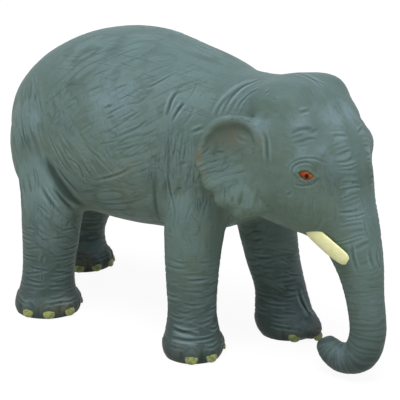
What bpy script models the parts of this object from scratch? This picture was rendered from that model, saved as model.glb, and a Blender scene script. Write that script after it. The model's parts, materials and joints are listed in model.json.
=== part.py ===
# Toy wild animal figure: a walking Asian elephant of soft rubber.
# X runs from the tail to the trunk, the right side is -Y, and the soles stand on z = 0. Metres.
# Hollow castings meet at plane seams: a collar or plug on one fits a socket in the next.
import math

import bmesh
import bpy
import numpy as np
from mathutils import Matrix, Vector

# Whole figure: its length, the height of its back and the width of its barrel
figure_length = 0.330
figure_height = 0.202
body_width = 0.110

# Castings
skin_wall = 0.0036
head_wall = 0.008
fit_gap = 0.0003
overrun = 0.002
body_power = 2.3

# Clay and facets
clay_grain = 0.003
clay_triangles = 6400
ring_sides = 20
chamber_sides = 12
chamber_rings = 11
leg_chamber_rings = 6
round_sides = 16
tube_sides = 10
path_steps = 3
ear_steps = 2
ear_rows_across = 7
mass_facets = (12, 7)
nail_facets = (8, 5)
eye_facets = (12, 6)
sharp_angle = math.radians(40)

# Seams: the legs' below the belly, the neck's in front of a leg plug, the trunk's in front of a foot
leg_seam_drop = 0.0063
leg_split_share = -0.030
neck_seam_clearance = 0.0129
trunk_clearance = 0.006

# Neck collar and leg plugs
collar_radius = 0.022
collar_length = 0.012
collar_height_share = 0.6436
collar_wall = 0.004
plug_radius = 0.0085
plug_length = 0.012
plug_wall = 0.003
socket_depth = 0.040
sole_thickness = 0.010
leg_top_thickness = 0.012

# Belly plug, pushed in after the filling
bung_place_share = -0.036
bung_radius = 0.0105
bung_flange = 0.0025
bung_flange_thickness = 0.0016
bung_recess = 0.0012
bung_lift = 0.0010

# Feet
fore_foot_radius = 0.0200
hind_foot_radius = 0.0228
# Hip and foot along the figure and foot from its middle, of the legs in their order
leg_place_shares = (
    (0.1700, 0.1770, -0.3290),
    (0.1700, 0.2424, 0.3290),
    (-0.2230, -0.2288, -0.3864),
    (-0.2515, -0.3864, 0.3864),
)

# Toenails, as one row round each foot
nail_half_width = 0.0036
nail_half_height = 0.0028
nail_half_depth = 0.0018
nail_height = 0.0048
nail_sink = 0.0006
nail_spacing = math.radians(38)
nail_counts = {"front": 3, "hind": 4}
foot_turns = {"front_right": -12, "front_left": 12, "hind_right": -21, "hind_left": 0}

# Eyes, ears and tusks start at shares of the head's length, the body's width and the figure's height
eye_place_shares = (0.718, 1.0, 0.6609)
eye_half_length = 0.0045
eye_half_height = 0.0030
eye_half_depth = 0.0022
eye_sink = 0.0009
pupil_radius = 0.0014
pupil_depth = 0.0012
pupil_offset = 0.0012

# Ears
ear_width = 0.040
ear_height = 0.066
ear_root_thickness = 0.0046
ear_rim_thickness = 0.0030
ear_cup = 0.0040
ear_flare = math.radians(42)
ear_place_shares = (0.3508, 0.3182, 0.6703)

# Tusks
tusk_length = 0.036
tusk_half_height = 0.0037
tusk_half_width = 0.0030
tusk_place_shares = (0.6229, 0.1273, 0.4950)

# Tail
tail_length = 0.076
tail_radius = 0.0036
tail_tuft_radius = 0.0046
tail_place_shares = (-0.3848, 0.0, 0.7327)

# Barrel: place along, top, bottom, half width, height of the widest line
barrel_shares = (
    (-0.410, 0.680, 0.530, 0.073, 0.612),
    (-0.397, 0.737, 0.476, 0.177, 0.606),
    (-0.358, 0.812, 0.425, 0.315, 0.604),
    (-0.279, 0.905, 0.402, 0.412, 0.610),
    (-0.167, 0.976, 0.374, 0.473, 0.612),
    (-0.045, 0.998, 0.360, 0.500, 0.604),
    (0.076, 0.962, 0.360, 0.467, 0.604),
    (0.167, 0.926, 0.382, 0.412, 0.614),
    (0.242, 0.866, 0.436, 0.337, 0.624),
    (0.303, 0.745, 0.495, 0.223, 0.634),
    (0.333, 0.658, 0.545, 0.090, 0.624),
)
neck_shares = (
    (0.121, 0.910, 0.515, 0.345, 0.693),
    (0.197, 0.905, 0.495, 0.327, 0.693),
    (0.273, 0.905, 0.485, 0.310, 0.693),
    (0.333, 0.900, 0.485, 0.300, 0.683),
)
head_shares = (
    (0.260, 0.800, 0.530, 0.136, 0.675),
    (0.278, 0.880, 0.462, 0.262, 0.685),
    (0.320, 0.922, 0.426, 0.320, 0.695),
    (0.375, 0.914, 0.425, 0.332, 0.685),
    (0.429, 0.852, 0.428, 0.286, 0.655),
    (0.472, 0.755, 0.443, 0.200, 0.616),
    (0.499, 0.665, 0.488, 0.082, 0.586),
)
# Trunk: place along, height, half width, half depth
trunk_shares = (
    (0.432, 0.690, 0.196, 0.053),
    (0.443, 0.590, 0.186, 0.060),
    (0.467, 0.472, 0.162, 0.0575),
    (0.492, 0.368, 0.126, 0.0465),
    (0.505, 0.276, 0.105, 0.0375),
    (0.515, 0.168, 0.102, 0.0350),
    (0.500, 0.090, 0.104, 0.0345),
    (0.459, 0.058, 0.090, 0.0290),
    (0.428, 0.076, 0.077, 0.0250),
    (0.415, 0.108, 0.056, 0.0180),
)
# Rounded masses: place along, half track, height, then their three half sizes
mass_shares = {
    "dome": ((0.348, 0.170, 0.836), (0.072, 0.146, 0.082)),
    "brow": ((0.430, 0.215, 0.708), (0.036, 0.086, 0.062)),
    "shoulder": ((0.152, 0.256, 0.640), (0.088, 0.196, 0.215)),
    "thigh": ((-0.238, 0.256, 0.570), (0.122, 0.218, 0.232)),
}
# Legs: height, share of the way from hip to foot, share of the foot's track, half length, half width
fore_leg_shares = (
    (-0.030, 1.00, 1.00, 0.84, 0.84),
    (0.000, 1.00, 1.00, 0.88, 0.88),
    (0.030, 1.00, 1.00, 1.00, 0.97),
    (0.080, 0.84, 1.00, 0.90, 0.89),
    (0.150, 0.74, 1.00, 0.79, 0.81),
    (0.248, 0.48, 0.98, 0.84, 0.86),
    (0.371, 0.28, 0.93, 0.95, 0.94),
    (0.495, 0.00, 0.80, 1.09, 0.99),
    (0.619, -0.10, 0.62, 1.13, 0.95),
    (0.743, -0.20, 0.50, 0.89, 0.71),
)
hind_leg_shares = (
    (-0.030, 1.00, 1.00, 0.86, 0.86),
    (0.000, 1.00, 1.00, 0.92, 0.92),
    (0.030, 1.00, 1.00, 1.00, 0.97),
    (0.080, 1.03, 1.00, 0.86, 0.86),
    (0.150, 0.98, 1.00, 0.75, 0.75),
    (0.248, 0.75, 1.00, 0.78, 0.78),
    (0.371, 0.36, 0.97, 0.94, 0.82),
    (0.495, 0.00, 0.83, 1.26, 0.90),
    (0.619, 0.00, 0.66, 1.33, 0.88),
    (0.743, 0.00, 0.50, 1.05, 0.72),
)
# Ear root and rim, each from the top down: out along the ear, up it, and towards its face
ear_root_shares = (
    (0.00, 0.41, -0.26),
    (-0.01, 0.33, -0.20),
    (-0.01, 0.24, -0.16),
    (-0.01, 0.12, -0.13),
    (-0.02, 0.00, -0.12),
    (-0.03, -0.15, -0.14),
    (-0.05, -0.30, -0.20),
    (-0.06, -0.41, -0.25),
)
ear_rim_shares = (
    (0.14, 0.48, -0.18),
    (0.42, 0.47, -0.06),
    (0.70, 0.39, 0.02),
    (0.92, 0.22, 0.03),
    (1.00, 0.02, 0.00),
    (0.86, -0.21, -0.03),
    (0.58, -0.38, -0.08),
    (0.25, -0.51, -0.15),
)
# Tusk and tail routes from their roots, as shares of their lengths, with a share of the radius
tusk_route_shares = (
    (0.00, 0.00, 0.00, 1.00),
    (0.22, 0.13, -0.09, 1.00),
    (0.54, 0.13, -0.24, 1.00),
    (0.76, 0.09, -0.40, 0.72),
    (0.85, 0.07, -0.49, 0.34),
)
tail_route_shares = (
    (0.00, 0.00, 0.00, 1.00),
    (-0.10, 0.00, 0.01, 1.00),
    (-0.175, 0.01, -0.06, 1.00),
    (-0.205, 0.04, -0.22, 0.90),
    (-0.190, 0.10, -0.50, 0.80),
    (-0.140, 0.18, -0.72, 0.80),
    (-0.090, 0.24, -0.88, 1.30),
    (-0.070, 0.27, -0.98, 0.60),
)

skin_colour = (0.135, 0.185, 0.180)
filling_colour = (0.80, 0.78, 0.72)
tusk_colour = (0.83, 0.82, 0.42)
nail_colour = (0.42, 0.45, 0.17)
iris_colour = (0.62, 0.16, 0.02)
pupil_colour = (0.010, 0.010, 0.010)
skin_roughness = 0.42
paint_roughness = 0.35
fibre_roughness = 0.95

for leftover in list(bpy.data.objects):
    bpy.data.objects.remove(leftover, do_unlink=True)

figure = bpy.data.objects.new("figure_frame", None)
bpy.context.scene.collection.objects.link(figure)


# A smooth curve through rows of numbers, with a few steps between each pair
def smooth_rows(rows, steps=path_steps):
    rows = np.array(rows, float)
    ends = np.vstack([2 * rows[0] - rows[1], rows, 2 * rows[-1] - rows[-2]])
    curve = []
    for index in range(len(rows) - 1):
        before, start, end, after = ends[index:index + 4]
        for step in range(steps):
            t = step / steps
            curve.append(0.5 * (2 * start + (end - before) * t
                                + (2 * before - 5 * start + 4 * end - after) * t ** 2
                                + (3 * start - before - 3 * end + after) * t ** 3))
    curve.append(rows[-1])
    return np.array(curve)


# A four-sided face is split one way only, so that a pocket grown from a piece clears it all over
def two_triangles(corners):
    first, second, third, fourth = (int(corner) for corner in corners)
    return [[first, second, third], [first, third, fourth]]


# The closed solid whose rings follow each other, with a flat face at each end
def ring_solid(rings):
    sides = len(rings[0])
    points = np.vstack(rings)
    faces = [list(range(sides)), [(len(rings) - 1) * sides + side for side in range(sides)]]
    for ring in range(len(rings) - 1):
        for side in range(sides):
            following = (side + 1) % sides
            corners = (ring * sides + side, ring * sides + following,
                       (ring + 1) * sides + following, (ring + 1) * sides + side)
            faces.extend(two_triangles(corners))
    return points, faces


def turn_angles(sides=ring_sides):
    return np.arange(sides) * 2 * math.pi / sides


# Rounded cross-sections of a body that lies along X
def body_rings(rows, sides=ring_sides):
    turns = turn_angles(sides)
    side = np.sign(np.cos(turns)) * np.abs(np.cos(turns)) ** (2 / body_power)
    lift = np.sign(np.sin(turns)) * np.abs(np.sin(turns)) ** (2 / body_power)
    rings = []
    for place, top, bottom, half, widest in rows:
        reach = np.where(lift > 0, top - widest, widest - bottom)
        rings.append(np.stack([np.full(sides, place), half * side, widest + reach * lift], 1))
    return rings


# A place on the head: its share of the way from the neck seam to the head's front comes first
def head_place(shares):
    along, across, up = shares
    place = neck_seam + along * (head_rows[-1, 0] - neck_seam)
    return np.array((place, across * body_width, up * figure_height))


def body_rows(shares):
    scale = (figure_length, figure_height, figure_height, body_width, figure_height)
    return smooth_rows(np.array(shares) * scale)


# The rings of a hollow in such a body, from one place along it to another, inside a wall
def hollow_rings(rows, wall, first, last):
    places = np.linspace(first, last, chamber_rings)
    drawn = np.stack([places] + [np.interp(places, rows[:, 0], rows[:, column])
                                 for column in range(1, 5)], 1)
    drawn[:, 1] -= wall
    drawn[:, 2] += wall
    drawn[:, 3] -= wall
    return body_rings(drawn, chamber_sides)


def leg_rows(leg):
    shares = fore_leg_shares if leg.startswith("front") else hind_leg_shares
    radius = fore_foot_radius if leg.startswith("front") else hind_foot_radius
    hip, foot, track = leg_places[leg]
    rows = []
    for height, way, sideways, half_length, half_width in shares:
        rows.append((height * figure_height, hip + way * (foot - hip), sideways * track,
                     half_length * radius, half_width * radius))
    return smooth_rows(rows)


def leg_rings(rows, sides=ring_sides):
    turns = turn_angles(sides)
    return [np.stack([place + half_length * np.cos(turns), across + half_width * np.sin(turns),
                      np.full(sides, height)], 1)
            for height, place, across, half_length, half_width in rows]


def leg_axis(leg, height):
    rows = leg_rows(leg)
    return Vector((np.interp(height, rows[:, 0], rows[:, 1]),
                   np.interp(height, rows[:, 0], rows[:, 2]), height))


# A tube along a route, its width across Y: rows of x, y, z, half width, half depth
def tube_rings(rows, sides=ring_sides):
    turns = turn_angles(sides)
    points = rows[:, :3]
    ways = np.gradient(points, axis=0)
    rings = []
    for point, way, half_width, half_depth in zip(points, ways, rows[:, 3], rows[:, 4]):
        way = way / np.linalg.norm(way)
        across = np.array((0, 1, 0)) - way[1] * way
        across = across / np.linalg.norm(across)
        other = np.cross(way, across)
        rings.append(point + half_width * np.outer(np.cos(turns), across)
                     + half_depth * np.outer(np.sin(turns), other))
    return rings


# An ellipsoid of three half sizes, set by a matrix
def ellipsoid(halves, matrix, facets):
    shape = bmesh.new()
    bmesh.ops.create_uvsphere(shape, u_segments=facets[0], v_segments=facets[1], radius=1.0)
    bmesh.ops.transform(shape, verts=shape.verts, matrix=matrix @ Matrix.Diagonal((*halves, 1)))
    return shape_data(shape)


# A round rod between two points
def rod(start, end, radius, sides=round_sides):
    axis = Vector(end) - Vector(start)
    spin = axis.to_track_quat("Z", "X").to_matrix().to_4x4()
    middle = Matrix.Translation((Vector(start) + Vector(end)) / 2)
    shape = bmesh.new()
    bmesh.ops.create_cone(shape, cap_ends=True, segments=sides, radius1=radius, radius2=radius,
                          depth=axis.length, matrix=middle @ spin)
    return shape_data(shape)


def box(low, high):
    low, high = Vector(low), Vector(high)
    shape = bmesh.new()
    bmesh.ops.create_cube(shape, size=1.0, matrix=Matrix.Translation((low + high) / 2)
                          @ Matrix.Diagonal((*(high - low), 1)))
    return shape_data(shape)


# An outline of x and z, carried across the whole width
def plate_across(outline, half_width):
    rings = [np.array([(x, y, z) for x, z in outline]) for y in (-half_width, half_width)]
    return ring_solid(rings)


# A turned solid round a vertical axis: outline of radius and height, both ends on the axis
def turned(outline, centre, sides=round_sides):
    turns = turn_angles(sides)
    rings = [np.stack([centre[0] + radius * np.cos(turns), centre[1] + radius * np.sin(turns),
                       np.full(sides, height)], 1) for radius, height in outline]
    return ring_solid(rings)


def shape_data(shape):
    shape.verts.index_update()
    points = np.array([vertex.co[:] for vertex in shape.verts])
    faces = [[vertex.index for vertex in face.verts] for face in shape.faces]
    shape.free()
    return points, faces


# One object from one or more solids that lie apart or, for clay, run into each other
def make_object(name, *solids):
    points, faces = [], []
    for solid_points, solid_faces in solids:
        start = len(points)
        points.extend(map(tuple, solid_points))
        faces.extend([[start + index for index in face] for face in solid_faces])
    mesh = bpy.data.meshes.new(name)
    mesh.from_pydata(points, [], faces)
    shape = bmesh.new()
    shape.from_mesh(mesh)
    bmesh.ops.recalc_face_normals(shape, faces=shape.faces)
    shape.to_mesh(mesh)
    shape.free()
    made = bpy.data.objects.new(name, mesh)
    bpy.context.scene.collection.objects.link(made)
    return made


# Keep what the modifiers make as the object's own mesh
def settle(made):
    graph = bpy.context.evaluated_depsgraph_get()
    mesh = bpy.data.meshes.new_from_object(made.evaluated_get(graph))
    made.modifiers.clear()
    made.data = mesh
    return made


# One Boolean step; the exact solver turns a casting inside out on small pockets, so those name another
def carve(made, operation, *solids, solver="EXACT"):
    tool = make_object("tool", *solids)
    cut = made.modifiers.new(operation.title(), "BOOLEAN")
    cut.operation = operation
    cut.object = tool
    cut.solver = solver
    settle(made)
    bpy.data.objects.remove(tool, do_unlink=True)
    return made


def copy_of(made, name):
    copied = bpy.data.objects.new(name, made.data.copy())
    bpy.context.scene.collection.objects.link(copied)
    return copied


def finish_piece(made, colour, roughness):
    material = bpy.data.materials.new(made.name)
    material.use_nodes = True
    surface = material.node_tree.nodes["Principled BSDF"]
    surface.inputs["Base Color"].default_value = (*colour, 1.0)
    surface.inputs["Roughness"].default_value = roughness
    made.data.materials.clear()
    made.data.materials.append(material)
    made.data.shade_smooth()
    made.data.set_sharp_from_angle(angle=sharp_angle)
    made.parent = figure
    return made


legs = ("front_right", "front_left", "hind_right", "hind_left")
leg_places = dict(zip(legs, np.array(leg_place_shares) * (figure_length, figure_length, body_width)))
flanks = {"right": -1, "left": 1}
far = 2 * figure_length
barrel = body_rows(barrel_shares)
head_rows = body_rows(head_shares)
leg_seam = barrel[:, 2].min() - leg_seam_drop
leg_split = leg_split_share * figure_length
neck_seam = leg_axis("front_left", leg_seam).x + plug_radius + neck_seam_clearance
trunk_seam = leg_places["front_left"][1] + fore_foot_radius + trunk_clearance
collar_height = collar_height_share * figure_height
bung_place = bung_place_share * figure_length
ear_place = head_place(ear_place_shares)
tusk_place = head_place(tusk_place_shares)
tail_place = np.array(tail_place_shares) * (figure_length, body_width, figure_height)


# The whole animal as one piece of clay: masses run together, then an even skin over them
def model_clay():
    solids = [ring_solid(body_rings(barrel)), ring_solid(body_rings(body_rows(neck_shares))),
              ring_solid(body_rings(head_rows))]
    trunk = np.array([(place * figure_length, 0.0, height * figure_height, half * body_width,
                       deep * figure_length) for place, height, half, deep in trunk_shares])
    solids.append(ring_solid(tube_rings(smooth_rows(trunk))))
    scale = Vector((figure_length, body_width, figure_height))
    for centre, halves in mass_shares.values():
        for side in flanks.values():
            place = Matrix.Translation(Vector((centre[0], side * centre[1], centre[2])) * scale)
            solids.append(ellipsoid(Vector(halves) * scale, place, mass_facets))
    for leg in legs:
        solids.append(ring_solid(leg_rings(leg_rows(leg))))
    clay = make_object("clay", *solids)
    skin = clay.modifiers.new("Skin", "REMESH")
    skin.mode = "VOXEL"
    skin.voxel_size = clay_grain
    relax = clay.modifiers.new("Relax", "SMOOTH")
    relax.factor = 0.5
    relax.iterations = 4
    settle(clay)
    thin = clay.modifiers.new("Thin", "DECIMATE")
    thin.ratio = min(1.0, clay_triangles / (2 * len(clay.data.polygons)))
    return settle(clay)


# The point and outward normal where a line of sight from outside meets the clay
def clay_point(clay, start, aim):
    start, aim = Vector(start), Vector(aim)
    hit, place, normal, face = clay.ray_cast(start, (aim - start).normalized())
    if not hit:
        raise ValueError("the line of sight misses the clay")
    return place, normal


# A frame at a clay point: Z out of the surface, X level along it
def clay_frame(place, normal, sink):
    level = Vector((0, 0, 1)).cross(normal).normalized()
    turn = Matrix((level, normal.cross(level), normal)).transposed().to_4x4()
    return Matrix.Translation(place - normal * sink) @ turn


def nail_names(leg):
    kind = leg.split("_")[0]
    return [f"nail_{leg}_{number + 1}" for number in range(nail_counts[kind])]


def nail_frames(clay, leg):
    centre = leg_axis(leg, nail_height)
    names = nail_names(leg)
    frames = {}
    for number, name in enumerate(names):
        turn = math.radians(foot_turns[leg]) + (number - (len(names) - 1) / 2) * nail_spacing
        outside = centre + Vector((math.cos(turn), math.sin(turn), 0)) * 2 * hind_foot_radius
        place, normal = clay_point(clay, outside, centre)
        frames[name] = clay_frame(place, normal, nail_sink)
    return frames


def nail_solid(frame, grow):
    halves = (nail_half_width + grow, nail_half_height + grow, nail_half_depth + grow)
    return ellipsoid(halves, frame, nail_facets)


# Eyes look out of the head's sides
def eye_frame(clay, side):
    outside = head_place(eye_place_shares) * (1, side, 1)
    place, normal = clay_point(clay, outside, outside * (1, 0, 1))
    return clay_frame(place, normal, eye_sink)


def eye_solid(frame, grow):
    halves = (eye_half_length + grow, eye_half_height + grow, eye_half_depth + grow)
    return ellipsoid(halves, frame, eye_facets)


# The pupil sits in the iris, towards the trunk
def pupil_solid(frame, side, grow):
    forward = -side * pupil_offset
    place = Matrix.Translation((forward, 0, eye_half_depth - pupil_depth / 2))
    halves = (pupil_radius + grow, pupil_radius + grow, pupil_depth + grow)
    return ellipsoid(halves, frame @ place, nail_facets)


# An ear is a dished plate between its root and its rim, thinner towards the rim
def ear_solid(side, grow):
    out = np.array((-math.cos(ear_flare), side * math.sin(ear_flare), 0))
    face = np.array((math.sin(ear_flare), side * math.cos(ear_flare), 0))
    up = np.array((0, 0, 1))
    place = ear_place * (1, side, 1)
    scale = np.array((ear_width, ear_height, ear_width))
    root = smooth_rows(np.array(ear_root_shares) * scale, ear_steps)
    rim = smooth_rows(np.array(ear_rim_shares) * scale, ear_steps)
    ways = np.linspace(0, 1, ear_rows_across)
    grid = root[:, None] + (rim - root)[:, None] * ways[None, :, None]
    spans = np.linalg.norm(rim - root, axis=1) / ear_width
    grid[..., 2] -= ear_cup * np.outer(spans, np.sin(math.pi * ways))
    grid = place + grid[..., :1] * out + grid[..., 1:2] * up + grid[..., 2:] * face
    along = np.gradient(grid, axis=0)
    away = np.gradient(grid, axis=1)
    normal = np.cross(along, away)
    normal /= np.linalg.norm(normal, axis=2, keepdims=True)
    for first, second in ((0, 1), (-1, -2)):
        edge = grid[first] - grid[second]
        grid[first] += grow * edge / np.linalg.norm(edge, axis=1, keepdims=True)
        edge = grid[:, first] - grid[:, second]
        grid[:, first] += grow * edge / np.linalg.norm(edge, axis=1, keepdims=True)
    half = (ear_root_thickness + (ear_rim_thickness - ear_root_thickness) * ways) / 2 + grow
    offset = normal * half[None, :, None]
    return slab_solid(grid + offset, grid - offset)


# The closed solid between two grids of points
def slab_solid(upper, lower):
    rows, columns = upper.shape[:2]
    points = np.vstack([upper.reshape(-1, 3), lower.reshape(-1, 3)])
    number = np.arange(rows * columns).reshape(rows, columns)
    below = number + rows * columns
    faces = []
    for row in range(rows - 1):
        for column in range(columns - 1):
            corners = (row, column), (row + 1, column), (row + 1, column + 1), (row, column + 1)
            faces.extend(two_triangles([number[corner] for corner in corners]))
            faces.extend(two_triangles([below[corner] for corner in corners]))
    border = ([(0, column) for column in range(columns)]
              + [(row, columns - 1) for row in range(1, rows)]
              + [(rows - 1, column) for column in range(columns - 2, -1, -1)]
              + [(row, 0) for row in range(rows - 2, 0, -1)])
    for index, corner in enumerate(border):
        following = border[(index + 1) % len(border)]
        faces.extend(two_triangles((number[corner], number[following], below[following], below[corner])))
    return points, faces


def tusk_solid(side, grow):
    rows = []
    for along, across, up, share in tusk_route_shares:
        rows.append((tusk_place[0] + along * tusk_length, side * (tusk_place[1] + across * tusk_length),
                     tusk_place[2] + up * tusk_length, tusk_half_width * share + grow,
                     tusk_half_height * share + grow))
    return ring_solid(tube_rings(stretch_ends(smooth_rows(rows), grow), tube_sides))


def tail_solid(grow):
    rows = []
    for along, across, up, share in tail_route_shares:
        radius = tail_tuft_radius if share > 1 else tail_radius * share
        rows.append((tail_place[0] + along * tail_length, tail_place[1] + across * tail_length,
                     tail_place[2] + up * tail_length, radius + grow, radius + grow))
    return ring_solid(tube_rings(stretch_ends(smooth_rows(rows), grow), tube_sides))


# Move a tube's two ends out along it
def stretch_ends(rows, distance):
    for end, beside in ((0, 1), (-1, -2)):
        way = rows[end, :3] - rows[beside, :3]
        rows[end, :3] += distance * way / np.linalg.norm(way)
    return rows


# The rings of the chamber inside a leg, drawn in from its skin
def leg_chamber(leg, shrink):
    rows = leg_rows(leg)
    low, high = sole_thickness + shrink, leg_seam - leg_top_thickness - shrink
    heights = np.linspace(low, high, leg_chamber_rings)
    drawn = np.stack([heights] + [np.interp(heights, rows[:, 0], rows[:, column])
                                  for column in range(1, 5)], 1)
    drawn[:, 3:] -= skin_wall + shrink
    return leg_rings(drawn, chamber_sides)


# Level rings along the line from a leg's seam towards its hip
def plug_rings(leg, heights, radius):
    seam, hip = leg_axis(leg, leg_seam), leg_axis(leg, leg_seam + socket_depth)
    centres = [seam + (hip - seam) * (height - leg_seam) / socket_depth for height in heights]
    rows = [(centre.z, centre.x, centre.y, radius, radius) for centre in centres]
    return leg_rings(rows, chamber_sides)


def make_leg(clay, leg, frames):
    low_x, high_x = (leg_split, trunk_seam) if leg.startswith("front") else (-far, leg_split)
    low_y, high_y = (-far, 0.0) if leg.endswith("right") else (0.0, far)
    made = copy_of(clay, "leg_" + leg)
    carve(made, "INTERSECT", box((low_x, low_y, 0.0), (high_x, high_y, leg_seam - fit_gap)))
    heights = (leg_seam - leg_top_thickness / 2, leg_seam + plug_length)
    carve(made, "UNION", ring_solid(plug_rings(leg, heights, plug_radius)))
    heights = (leg_seam - leg_top_thickness, leg_seam + plug_length + overrun)
    bore = plug_rings(leg, heights, plug_radius - plug_wall)
    carve(made, "DIFFERENCE", ring_solid(leg_chamber(leg, 0.0) + bore))
    pockets = [nail_solid(frame, fit_gap) for frame in frames.values()]
    carve(made, "DIFFERENCE", *pockets, solver="MANIFOLD")
    return finish_piece(made, skin_colour, skin_roughness)


def leg_socket(leg):
    heights = (leg_seam - overrun, leg_seam + socket_depth)
    return ring_solid(plug_rings(leg, heights, plug_radius + fit_gap))


# The barrel's chamber stops short of the tail's root and of the neck, where a thick ring holds the collar
def barrel_chamber(shrink):
    first = tail_place[0] + tail_radius + skin_wall
    last = neck_seam - collar_length
    return ring_solid(hollow_rings(barrel, skin_wall + shrink, first + shrink, last - shrink))


def bung_solid(grow):
    bottom = np.interp(bung_place, barrel[:, 0], barrel[:, 2])
    inside = bottom + skin_wall + bung_lift
    outline = ((bung_radius + grow, bottom + bung_recess - grow), (bung_radius + grow, inside - grow),
               (bung_radius + bung_flange + grow, inside - grow),
               (bung_radius + bung_flange + grow, inside + bung_flange_thickness + grow))
    return turned(outline, (bung_place, 0.0))


def bung_hole():
    bottom = np.interp(bung_place, barrel[:, 0], barrel[:, 2])
    return rod((bung_place, 0, bottom - skin_wall), (bung_place, 0, bottom + 2 * skin_wall),
               bung_radius + fit_gap)


# The filling is pressed in all over the plug's flange
def bung_dent():
    bottom = np.interp(bung_place, barrel[:, 0], barrel[:, 2])
    top = bottom + skin_wall + bung_lift + bung_flange_thickness + fit_gap
    return rod((bung_place, 0, bottom), (bung_place, 0, top), bung_radius + bung_flange + fit_gap)


def make_torso(clay):
    made = copy_of(clay, "torso_skin")
    carve(made, "INTERSECT", box((-far, -far, leg_seam), (neck_seam, far, far)))
    carve(made, "DIFFERENCE", barrel_chamber(0.0))
    neck = rod((neck_seam - collar_length - skin_wall * 2, 0, collar_height),
               (neck_seam + overrun, 0, collar_height), collar_radius + fit_gap)
    carve(made, "DIFFERENCE", neck, bung_hole(), tail_solid(fit_gap))
    carve(made, "DIFFERENCE", bung_solid(fit_gap), *[leg_socket(leg) for leg in legs])
    return finish_piece(made, skin_colour, skin_roughness)


def head_chamber(shrink):
    first = neck_seam + head_wall
    last = tusk_place[0] - head_wall
    return ring_solid(hollow_rings(head_rows, head_wall + shrink, first + shrink, last - shrink))


def make_head(clay, eyes):
    made = copy_of(clay, "head_skin")
    seam = neck_seam + fit_gap
    outline = ((seam, leg_seam), (trunk_seam, leg_seam),
               (trunk_seam, -far), (far, -far), (far, far), (seam, far))
    carve(made, "INTERSECT", plate_across(outline, far))
    carve(made, "DIFFERENCE", head_chamber(0.0))
    back = neck_seam - collar_length
    carve(made, "UNION", rod((back, 0, collar_height), (seam + collar_wall, 0, collar_height), collar_radius))
    carve(made, "DIFFERENCE", rod((back - overrun, 0, collar_height),
                                  (seam + head_wall * 2, 0, collar_height), collar_radius - collar_wall))
    pockets = [ear_solid(side, fit_gap) for side in flanks.values()]
    pockets += [tusk_solid(side, fit_gap) for side in flanks.values()]
    pockets += [eye_solid(frame, fit_gap) for frame in eyes.values()]
    carve(made, "DIFFERENCE", *pockets)
    return finish_piece(made, skin_colour, skin_roughness)


def make_eye(name, side, frame):
    eye = make_object("eye_" + name, eye_solid(frame, 0.0))
    carve(eye, "DIFFERENCE", pupil_solid(frame, side, fit_gap))
    finish_piece(eye, iris_colour, paint_roughness)
    finish_piece(make_object("pupil_" + name, pupil_solid(frame, side, 0.0)), pupil_colour, paint_roughness)


def build_figure():
    clay = model_clay()
    make_torso(clay)
    eyes = {name: eye_frame(clay, side) for name, side in flanks.items()}
    make_head(clay, eyes)
    for leg in legs:
        frames = nail_frames(clay, leg)
        make_leg(clay, leg, frames)
        filling = make_object("leg_filling_" + leg, ring_solid(leg_chamber(leg, fit_gap)))
        finish_piece(filling, filling_colour, fibre_roughness)
        for name, frame in frames.items():
            finish_piece(make_object(name, nail_solid(frame, 0.0)), nail_colour, paint_roughness)
    for name, side in flanks.items():
        finish_piece(make_object("ear_" + name, ear_solid(side, 0.0)), skin_colour, skin_roughness)
        finish_piece(make_object("tusk_" + name, tusk_solid(side, 0.0)), tusk_colour, paint_roughness)
        make_eye(name, side, eyes[name])
    finish_piece(make_object("tail", tail_solid(0.0)), skin_colour, skin_roughness)
    finish_piece(make_object("belly_plug", bung_solid(0.0)), skin_colour, skin_roughness)
    filling = make_object("torso_filling", barrel_chamber(fit_gap))
    carve(filling, "DIFFERENCE", bung_dent())
    finish_piece(filling, filling_colour, fibre_roughness)
    finish_piece(make_object("head_filling", head_chamber(fit_gap)), filling_colour, fibre_roughness)
    bpy.data.objects.remove(clay, do_unlink=True)


# Stand the figure on z = 0 with its box centred on the origin
def centre_figure():
    bpy.context.view_layer.update()
    corners = np.array([piece.matrix_world @ vertex.co for piece in figure.children
                        for vertex in piece.data.vertices])
    low, high = corners.min(axis=0), corners.max(axis=0)
    figure.location = (-(low[0] + high[0]) / 2, -(low[1] + high[1]) / 2, -low[2])
    print("figure size in mm:", np.round((high - low) * 1000, 1))


build_figure()
centre_figure()
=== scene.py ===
import json
import math

import bmesh
import bpy
import numpy as np
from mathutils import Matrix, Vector
from mathutils.bvhtree import BVHTree

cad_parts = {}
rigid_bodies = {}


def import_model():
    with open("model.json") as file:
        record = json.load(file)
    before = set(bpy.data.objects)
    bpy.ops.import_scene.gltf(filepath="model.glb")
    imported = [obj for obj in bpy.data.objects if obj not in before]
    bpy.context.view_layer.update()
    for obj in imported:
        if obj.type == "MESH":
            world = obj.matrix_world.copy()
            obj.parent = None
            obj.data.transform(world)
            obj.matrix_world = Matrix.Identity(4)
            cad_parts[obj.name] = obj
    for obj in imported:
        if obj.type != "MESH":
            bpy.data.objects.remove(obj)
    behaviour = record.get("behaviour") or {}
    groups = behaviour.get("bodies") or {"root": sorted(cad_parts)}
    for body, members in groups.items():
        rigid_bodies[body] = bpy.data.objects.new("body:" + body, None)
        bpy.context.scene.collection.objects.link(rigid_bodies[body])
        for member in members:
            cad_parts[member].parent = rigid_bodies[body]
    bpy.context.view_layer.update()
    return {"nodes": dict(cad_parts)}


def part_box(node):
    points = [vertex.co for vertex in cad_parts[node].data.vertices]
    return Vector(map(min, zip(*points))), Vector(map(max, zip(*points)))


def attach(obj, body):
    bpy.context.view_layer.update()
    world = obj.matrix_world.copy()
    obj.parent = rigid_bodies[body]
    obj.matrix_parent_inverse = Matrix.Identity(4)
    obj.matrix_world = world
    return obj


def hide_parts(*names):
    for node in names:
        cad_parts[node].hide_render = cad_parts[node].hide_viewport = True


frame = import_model()
rng = np.random.default_rng(11)
mm = 0.001  # sculpting is done in millimetres, meshes are in metres

print("stage: camera")

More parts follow.
